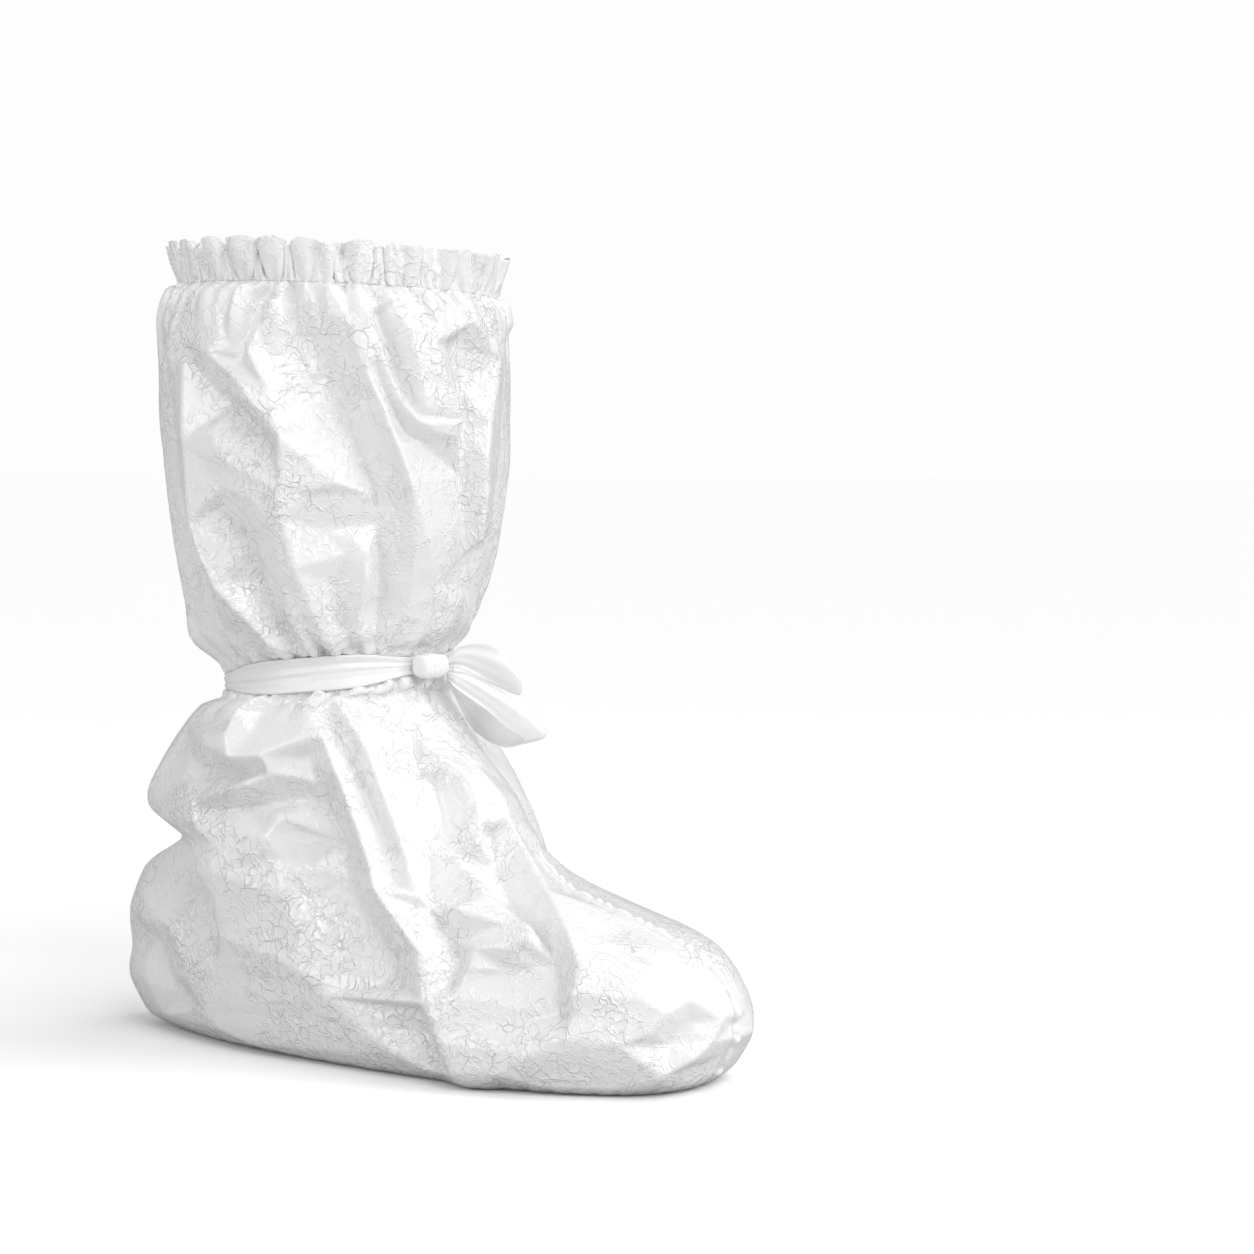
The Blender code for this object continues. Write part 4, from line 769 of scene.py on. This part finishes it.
def new_material(name):
    """A material with its node tree and its shader."""
    made = bpy.data.materials.new(name)
    made.use_nodes = True
    return made, made.node_tree, made.node_tree.nodes["Principled BSDF"]


def film_material(name, look):
    """White film: uneven gloss, and a network of fine crease lines that comes and goes, whitened in
    colour as a painted highlight.
    """
    made, tree, shader = new_material(name)
    shader.inputs["Specular IOR Level"].default_value = 0.5
    shader.inputs["Coat Weight"].default_value = look.coat
    shader.inputs["Coat Roughness"].default_value = COAT_ROUGHNESS
    place = Output(tree.nodes.new("ShaderNodeTexCoord"), "Object")

    def product(a, b):
        return maths(tree, "MULTIPLY", a, b)

    def total(a, b):
        return maths(tree, "ADD", a, b)

    def noise(scale, detail=3.0, output="Fac"):
        values = {"Vector": place, "Scale": scale, "Detail": detail, "Roughness": 0.55}
        return Output(add_node(tree, "ShaderNodeTexNoise", **values), output)

    def ramp(source, low, high, start, end):
        values = {"Value": source, "From Min": low, "From Max": high, "To Min": start, "To Max": end}
        node = add_node(tree, "ShaderNodeMapRange", interpolation_type="SMOOTHSTEP", **values)
        return Output(node, "Result")

    warp = add_node(tree, "ShaderNodeVectorMath", operation="MULTIPLY_ADD")
    feed(tree, noise(75.0, 2.0, "Color"), warp, 0)
    feed(tree, grey(CREASE_WARP)[:3], warp, 1)
    feed(tree, place, warp, 2)

    def cells(feature, scale):
        values = {"Vector": Output(warp, "Vector"), "Scale": scale}
        node = add_node(tree, "ShaderNodeTexVoronoi", feature=feature, **values)
        return Output(node, "Distance")

    # Crease lines: short raised lines, from the borders of warped cells and from ridged noise
    coarse_where = ramp(noise(15.0), 0.42, 0.60, 0.15, 1.0)
    fine_where = ramp(noise(29.0), 0.44, 0.60, 0.0, 0.7)
    # Where the ridged noise lines show: their height is bump, and it also paints the highlight below
    ridged_where = ramp(noise(22.0), 0.42, 0.60, 0.1, 0.8)
    height = 0.0
    for (scale, width), where in zip(CREASE_NETS, (coarse_where, fine_where)):
        broken = ramp(noise(0.75 * scale, 1.0), 0.40, 0.58, 0.15, 1.0)
        lines = product(ramp(cells("DISTANCE_TO_EDGE", scale), 0.0, width, 1.0, 0.0), broken)
        height = total(height, product(lines, where))
    ridged = maths(tree, "ABSOLUTE", maths(tree, "SUBTRACT", noise(120.0, 1.5), 0.5))
    height = total(height, product(ramp(ridged, 0.0, 0.035, 0.7, 0.0), ridged_where))
    # Painted highlight: the crease lines' height also whitens the base colour
    painted_crease_highlight = product(height, 0.8 * look.crackle)
    tilted = product(cells("F1", CREASE_NETS[0][0]), product(coarse_where, 0.9))
    height = product(total(height, tilted), look.crackle)
    height = total(height, product(noise(240.0, 4.0), look.grain))
    bump = add_node(
        tree, "ShaderNodeBump", Strength=1.0, Distance=CREASE_HEIGHT, Height=height
    )
    for socket in ("Normal", "Coat Normal"):
        feed(tree, Output(bump, "Normal"), shader, socket)

    # The colour is slowly uneven at random, and the crease lines are painted near white as a painted
    # highlight on their ridges
    tone = ramp(noise(9.0), 0.35, 0.65, 0.0, 1.0)
    duller = tuple(0.975 * part for part in look.colour)
    colour = mixed(tree, tone, (*duller, 1.0), (*look.colour, 1.0))
    feed(tree, mixed(tree, painted_crease_highlight, colour, grey(CREASE_HIGHLIGHT_WHITE)), shader, "Base Color")
    gloss = ramp(noise(45.0), 0.3, 0.7, look.roughness - 0.05, look.roughness + 0.07)
    feed(tree, gloss, shader, "Roughness")
    return made


def finish_piece(piece, surface, node):
    """Gives a piece its film, and puts it on the root in place of its CAD node."""
    piece.data.materials.append(surface)
    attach(piece, "root")
    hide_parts(node)


def panels(film):
    """Both side panels from one grid, each closed under the foot to the sole's middle line."""
    rounds = np.arange(COLUMNS + 1) / COLUMNS
    bag = bag_grid(rounds, BAG_DOWNS)
    bag[:, -1] = bag[:, 0]
    floor_z = bag[-1, :, 2].min()
    # The edge at the sole is rolled under
    r, d = np.meshgrid(rounds, BAG_DOWNS)
    level = outward(r, d) * np.array([1.0, 1.0, 0.0])
    level /= np.maximum(np.linalg.norm(level, axis=-1, keepdims=True), 1e-9)
    low = np.clip((SOLE_ROLL + floor_z - bag[..., 2]) / SOLE_ROLL, 0, 1) * (d > 1.5)
    bag = bag - level * (SOLE_ROLL * (1 - np.sqrt(1 - low**2)))[..., None]
    edge = bag[-1]
    middle_x = (edge[:, 0].min() + edge[:, 0].max()) / 2
    sole = []
    for k in range(1, SOLE_ROWS + 1):
        share = k / SOLE_ROWS
        ring = edge.copy()
        ring[:, 1] *= 1 - share
        ring[:, 0] = middle_x + (ring[:, 0] - middle_x) * (1 - 0.08 * share)
        sole.append(ring)
    grid = np.concatenate([bag, np.array(sole)])
    half = COLUMNS // 2
    sides = (("near_film", "near_panel", 0), ("far_film", "far_panel", half))
    pieces = []
    for name, node, start in sides:
        side = grid[:, start : start + half + 1]
        piece = grid_mesh(name, side)
        finish_piece(piece, film, node)
        pieces.append(piece)
    return pieces


def cuff(film):
    """The ruffle: uneven lobes that swing from side to side and open out above the elastic."""
    rounds = np.arange(CUFF_COLUMNS) / CUFF_COLUMNS
    turn = 2 * math.pi * rounds
    rng = np.random.default_rng(RUFFLE_SEED)
    wide = RUFFLE_COUNT * turn
    for k in (2, 3, 5, 7):
        wide = wide + rng.uniform(0.4, 0.9) * np.sin(k * turn + rng.uniform(0, 6))
    narrow = RUFFLE_FINER * wide + 2 * np.sin(5 * turn + 1)
    # A whole number of them goes round
    finer_count = RUFFLE_FINER * RUFFLE_COUNT
    narrow = narrow + (round(finer_count) - finer_count) * turn
    fine = 2.0 * narrow + 3 * np.sin(3 * turn)
    size = 1.0 + sum(0.18 * np.sin(k * turn + rng.uniform(0, 6)) for k in (4, 9, 13))
    base = smooth_form(rounds, np.zeros(CUFF_COLUMNS))
    out = base * np.array([1.0, 1.0, 0.0])
    out /= np.linalg.norm(out, axis=1, keepdims=True)
    side = np.stack([-out[:, 1], out[:, 0], out[:, 2]], axis=1)
    pitch = 2 * math.pi * CALF_RADIUS / RUFFLE_COUNT
    rows = []
    for share in np.linspace(-CUFF_FOOT, 1.0, CUFF_ROWS):
        up = max(share, 0.0)
        spread = up**0.5 * size
        swing = 0.50 * np.cos(wide + 0.5 * up) + 0.42 * np.cos(narrow + 1.4 * up)
        swing = swing + 0.20 * (1 - up) * np.cos(fine)
        depth = RUFFLE_DEPTH * spread * swing + CUFF_FLARE * up**0.8
        depth = depth + TEETH_DEPTH * teeth(rounds) * math.exp(-((share / 0.35) ** 2))
        depth = depth - PINCH * (1 - 0.6 * up) + GAP
        across = pitch * spread * (0.16 * np.sin(wide + 0.9) + 0.075 * np.sin(narrow + 0.5))
        lift = RUFFLE_LIFT * up * (0.7 * np.cos(wide + 1.0) + 0.45 * np.cos(narrow))
        row = base + out * depth[:, None] + side * across[:, None]
        row[:, 2] += share * CUFF_HEIGHT + lift
        rows.append(row)
    piece = grid_mesh("ruffled_cuff", np.array(rows)[::-1], closed=True)
    thicken(piece, CUFF_SHEET)
    finish_piece(piece, film, "elastic_cuff")


def tie(tape):
    """The tie: a folded strip with pleats along it that run together at the knot and the back."""
    rounds = np.arange(TIE_COLUMNS) / TIE_COLUMNS
    rows = []
    for share in np.linspace(-1, 1, TIE_ROWS):
        down = 1.0 + share * HALF_DOWN * tie_narrowing(rounds)
        turn = 2 * math.pi * rounds
        pleat = np.cos(7.5 * share + 1.3 * np.sin(turn + 0.5) + 0.7 * np.sin(3 * turn))
        pleat = 0.6 * pleat + 0.4 * np.cos(13 * share - 2 * np.sin(2 * turn) + 1)
        lip = TIE_LIP * math.exp(-(((abs(share) - 0.93) / 0.1) ** 2))
        rise = TIE_GAP + TIE_BELLY * (1 - share * share)
        rise = rise + TIE_PLEAT * (1 + pleat) * (1 - share**4) + lip
        rows.append(smooth_form(rounds, down) + outward(rounds, down) * rise[:, None])
    piece = grid_mesh("tie_band", np.array(rows), closed=True)
    thicken(piece, TIE_SHEET, 1.0)
    finish_piece(piece, tape, "ankle_tie")


def knot_frame():
    """Seat, outward and sideways directions at the knot."""
    place = np.array(KNOT_ROUND), np.array(1.0)
    out = outward(*place) * np.array([1.0, 1.0, 0.0])
    out /= np.linalg.norm(out)
    side = np.array([-out[1], out[0], 0.0])
    seat = smooth_form(*place) + out * (TIE_GAP + TIE_BELLY + TIE_THICKNESS)
    return seat, out, side


def knot(tape):
    """A small plump knot: two wraps of the strip side by side, with creases between them."""
    seat, out, level = knot_frame()
    up = np.array([0.0, 0.0, 1.0])
    points = []
    for i in range(KNOT_RINGS + 1):
        v = math.pi * i / KNOT_RINGS
        for j in range(KNOT_STEPS):
            u = 2 * math.pi * j / KNOT_STEPS
            # v runs along the tie, u goes round the wraps
            along = -math.copysign(abs(math.cos(v)) ** 0.8, math.cos(v))
            girth = max(math.sin(v), 0.0) ** 0.45
            bent = along + 0.22 * math.cos(u) * math.sin(u) + 0.10 * math.sin(u)
            groove = sum(0.07 * math.exp(-(((bent - k) / 0.05) ** 2)) for k in KNOT_GROOVES)
            crease = 0.02 * math.cos(13 * along - 2 * math.sin(u))
            size = girth * (1 - groove + crease - 0.06 * along)
            centre = seat + out * (2 * GAP + KNOT_DEPTH / 2) + level * KNOT_SHIFT
            p = centre + level * along * (KNOT_LENGTH / 2 - KNOT_SHIFT)
            square = 1 / (abs(math.cos(u)) ** 3 + abs(math.sin(u)) ** 3) ** (1 / 3)
            p = p + out * math.cos(u) * size * square * KNOT_DEPTH / 2
            p = p + up * math.sin(u) * size * square * KNOT_WIDTH / 2
            points.append(p)
    grid = np.array(points).reshape(KNOT_RINGS + 1, KNOT_STEPS, 3)
    piece = grid_mesh("knot_wraps", grid, closed=True)
    mesh = bmesh.new()
    mesh.from_mesh(piece.data)
    bmesh.ops.remove_doubles(mesh, verts=mesh.verts, dist=1e-6)
    bmesh.ops.recalc_face_normals(mesh, faces=mesh.faces)
    mesh.to_mesh(piece.data)
    mesh.free()
    finish_piece(piece, tape, "tie_knot")


def loop_piece(name, table, length, clear, tape, node):
    """A ribbon that leaves the knot, turns at the tip and comes back, with folds fanning out."""
    seat, out, level = knot_frame()
    start = seat + out * (2 * GAP + KNOT_DEPTH / 2) + level * (KNOT_LENGTH / 2 + clear)
    along = np.array([math.cos(LOOP_TURN), math.sin(LOOP_TURN), 0.0])
    towards = np.array([math.sin(LOOP_TURN), -math.cos(LOOP_TURN), 0.0])
    axes = np.array([along, [0.0, 0.0, 1.0], towards])
    edges = np.array([row[1:] for row in table]) * length
    stops = np.arange(len(table), dtype=float)
    slopes = np.gradient(edges, axis=0)
    rows = []
    for place in np.linspace(0, stops[-1], LOOP_STEPS + 1):
        k = min(int(place), len(table) - 2)
        both = hermite(place - k, edges[k], edges[k + 1], slopes[k], slopes[k + 1])
        upper, lower = both[:3], both[3:]
        spread = math.sin(math.pi * place / stops[-1])
        row = []
        for share in np.linspace(0, 1, LOOP_COLUMNS):
            fan = math.cos(9.0 * share + 1.2) + 0.6 * math.cos(17.0 * share + 2 * spread)
            wrinkle = LOOP_WRINKLE * fan * (1 - spread) ** 0.5
            wrinkle = wrinkle + 0.0004 * math.sin(4 * share + 5 * spread)
            belly = LOOP_BELLY * length * math.sin(math.pi * share) * spread
            # The tip is rounded
            curl = 0.055 * math.sin(math.pi * share) - 0.045 * share**6 - 0.030 * (1 - share) ** 6
            round_off = np.array([1.0, -0.35, 0.0]) * length * curl * max(0.0, spread) ** 12
            sign = 1.0 if place < stops[-1] / 2 else -1.0
            point = lower + (upper - lower) * share
            lift = np.array([0.0, 0.0, wrinkle + sign * belly])
            row.append(start + (point + lift + round_off) @ axes)
        rows.append(row)
    piece = grid_mesh(name, np.array(rows))
    thicken(piece, LOOP_SHEET)
    finish_piece(piece, tape, node)


def whole_bag(near, far):
    """The bag's grid, read off the meshes of both panels, without the sole."""
    halves = []
    for piece in (near, far):
        points = np.empty(len(piece.data.vertices) * 3)
        piece.data.vertices.foreach_get("co", points)
        halves.append(points.reshape(-1, COLUMNS // 2 + 1, 3)[: len(BAG_DOWNS)])
    return np.concatenate([halves[0], halves[1][:, 1:]], axis=1)


def bag_at(bag, rounds, downs):
    """Points at places round and down the bag, between those of its grid."""
    column = np.broadcast_to(rounds, downs.shape) * COLUMNS
    i = np.clip(np.searchsorted(BAG_DOWNS, downs, side="right") - 1, 0, len(BAG_DOWNS) - 2)
    j = np.floor(column).astype(int)
    t = ((downs - BAG_DOWNS[i]) / (BAG_DOWNS[i + 1] - BAG_DOWNS[i]))[:, None]
    s = (column - j)[:, None]
    low = bag[i, j] * (1 - s) + bag[i, j + 1] * s
    high = bag[i + 1, j] * (1 - s) + bag[i + 1, j + 1] * s
    return low * (1 - t) + high * t


def welt(bag, surface):
    """The seam's raised welt with its row of puckers."""
    downs = np.linspace(SEAM_START, SEAM_END, SEAM_ROWS)
    middle = bag_at(bag, 0.5, downs)
    width = np.linalg.norm(bag_at(bag, 0.5 + SEAM_STEP, downs) - middle, axis=1)
    half = SEAM_WIDTH / 2 * SEAM_STEP / width
    up = outward(np.full(downs.shape, 0.5), downs)
    length = np.concatenate([[0], np.cumsum(np.linalg.norm(np.diff(middle, axis=0), axis=1))])
    rows = []
    for share in np.linspace(-1.0, 1.0, SEAM_LINES):
        centre = bag_at(bag, 0.5 + share * half, downs)
        turn = 2 * math.pi * length / PUCKER_PITCH
        pucker = np.cos(turn + 1.5 * np.sin(length * 230) + 0.6 * share)
        crown = SEAM_CROWN * (1 - share**2) ** 0.5
        ridge = PUCKER_DEPTH * pucker * (1 - share**4)
        sunk = -SEAM_LIFT * abs(share) ** 6
        rows.append(centre + up * (SEAM_LIFT + crown + ridge + sunk)[:, None])
    piece = grid_mesh("seam_welt", np.array(rows))
    finish_piece(piece, surface, "front_seam")


def stage():
    """A pale floor that shades softly, lifted to the white of the surround for the camera alone."""
    below = (0.0, 0.0, CAD_BOX[0][2] - 0.0001)
    bpy.ops.mesh.primitive_plane_add(size=FLOOR_SIZE, location=below)
    floor = bpy.context.object
    floor.name = "floor"
    made, tree, shader = new_material("floor")
    shader.inputs["Roughness"].default_value = 0.9
    shader.inputs["Specular IOR Level"].default_value = 0.0
    shader.inputs["Emission Color"].default_value = grey(1.0)
    seen = Output(tree.nodes.new("ShaderNodeLightPath"), "Is Camera Ray")
    colour = mixed(tree, seen, grey(FLOOR_GREY), grey(FLOOR_WHITE))
    feed(tree, colour, shader, "Base Color")
    feed(tree, maths(tree, "MULTIPLY", seen, FLOOR_LIFT), shader, "Emission Strength")
    floor.data.materials.append(made)


def surround():
    """A world that is white to the camera and dimmer as light."""
    world = bpy.data.worlds.new("studio")
    bpy.context.scene.world = world
    world.use_nodes = True
    tree = world.node_tree
    lit = tree.nodes["Background"]
    lit.inputs["Color"].default_value = grey(1.0)
    lit.inputs["Strength"].default_value = SKY_LIGHT
    white = add_node(tree, "ShaderNodeBackground", Color=grey(SKY_SEEN))
    seen = Output(tree.nodes.new("ShaderNodeLightPath"), "Is Camera Ray")
    mix = tree.nodes.new("ShaderNodeMixShader")
    for socket, value in enumerate((seen, Output(lit, "Background"), Output(white, "Background"))):
        feed(tree, value, mix, socket)
    feed(tree, Output(mix, "Shader"), tree.nodes["World Output"], "Surface")


def light(name, kind, place, target, **settings):
    """A light at a place that shines towards a target."""
    data = bpy.data.lights.new(name, kind)
    for key, value in settings.items():
        setattr(data, key, value)
    lamp = bpy.data.objects.new(name, data)
    bpy.context.scene.collection.objects.link(lamp)
    lamp.location = place
    away = Vector(place) - Vector(target)
    lamp.rotation_euler = away.to_track_quat("Z", "Y").to_euler()


def lights():
    """Two wide suns from the right and above, and a strip of light on either side."""
    for name, sun in SUNS.items():
        light(name, "SUN", sun.place, (0.0, 0.0, 0.0), energy=sun.energy, angle=sun.spread)
    for name, strip in STRIPS.items():
        size = {"shape": "RECTANGLE", "size": strip.width, "size_y": strip.height}
        light(name, "AREA", strip.place, STRIP_TARGET, energy=strip.power, **size)


def camera():
    """The photo's view: turned round from the side, a little above, through a long lens."""
    data = bpy.data.cameras.new("camera")
    data.sensor_width = SENSOR_WIDTH
    data.lens = LENS
    data.dof.use_dof = False
    turned, tilt = math.radians(CAMERA_TURN), math.radians(CAMERA_TILT)
    ahead = Vector((-math.sin(turned), math.cos(turned), 0.0)) * math.cos(tilt)
    ahead.z = -math.sin(tilt)
    right = Vector((math.cos(turned), math.sin(turned), 0.0))
    up = right.cross(ahead)
    made = bpy.data.objects.new("camera", data)
    bpy.context.scene.collection.objects.link(made)
    rows = zip(right, up, -ahead, CAMERA_PLACE)
    made.matrix_world = Matrix([*rows, (0.0, 0.0, 0.0, 1.0)])
    bpy.context.scene.camera = made


films = {name: film_material(name, look) for name, look in LOOKS.items()}
near, far = panels(films["film"])
cuff(films["film"])
tape = films["tie_film"]
tie(tape)
knot(tape)
upper = (UPPER_LOOP_ROWS, UPPER_LOOP_LENGTH, UPPER_LOOP_CLEAR)
lower = (LOWER_LOOP_ROWS, LOWER_LOOP_LENGTH, LOWER_LOOP_CLEAR)
loop_piece("upper_ribbon", *upper, tape, "upper_loop")
loop_piece("lower_ribbon", *lower, tape, "lower_loop")
welt(whole_bag(near, far), films["seam_film"])
stage()
surround()
lights()
camera()
bpy.context.scene.view_settings.view_transform = "Standard"
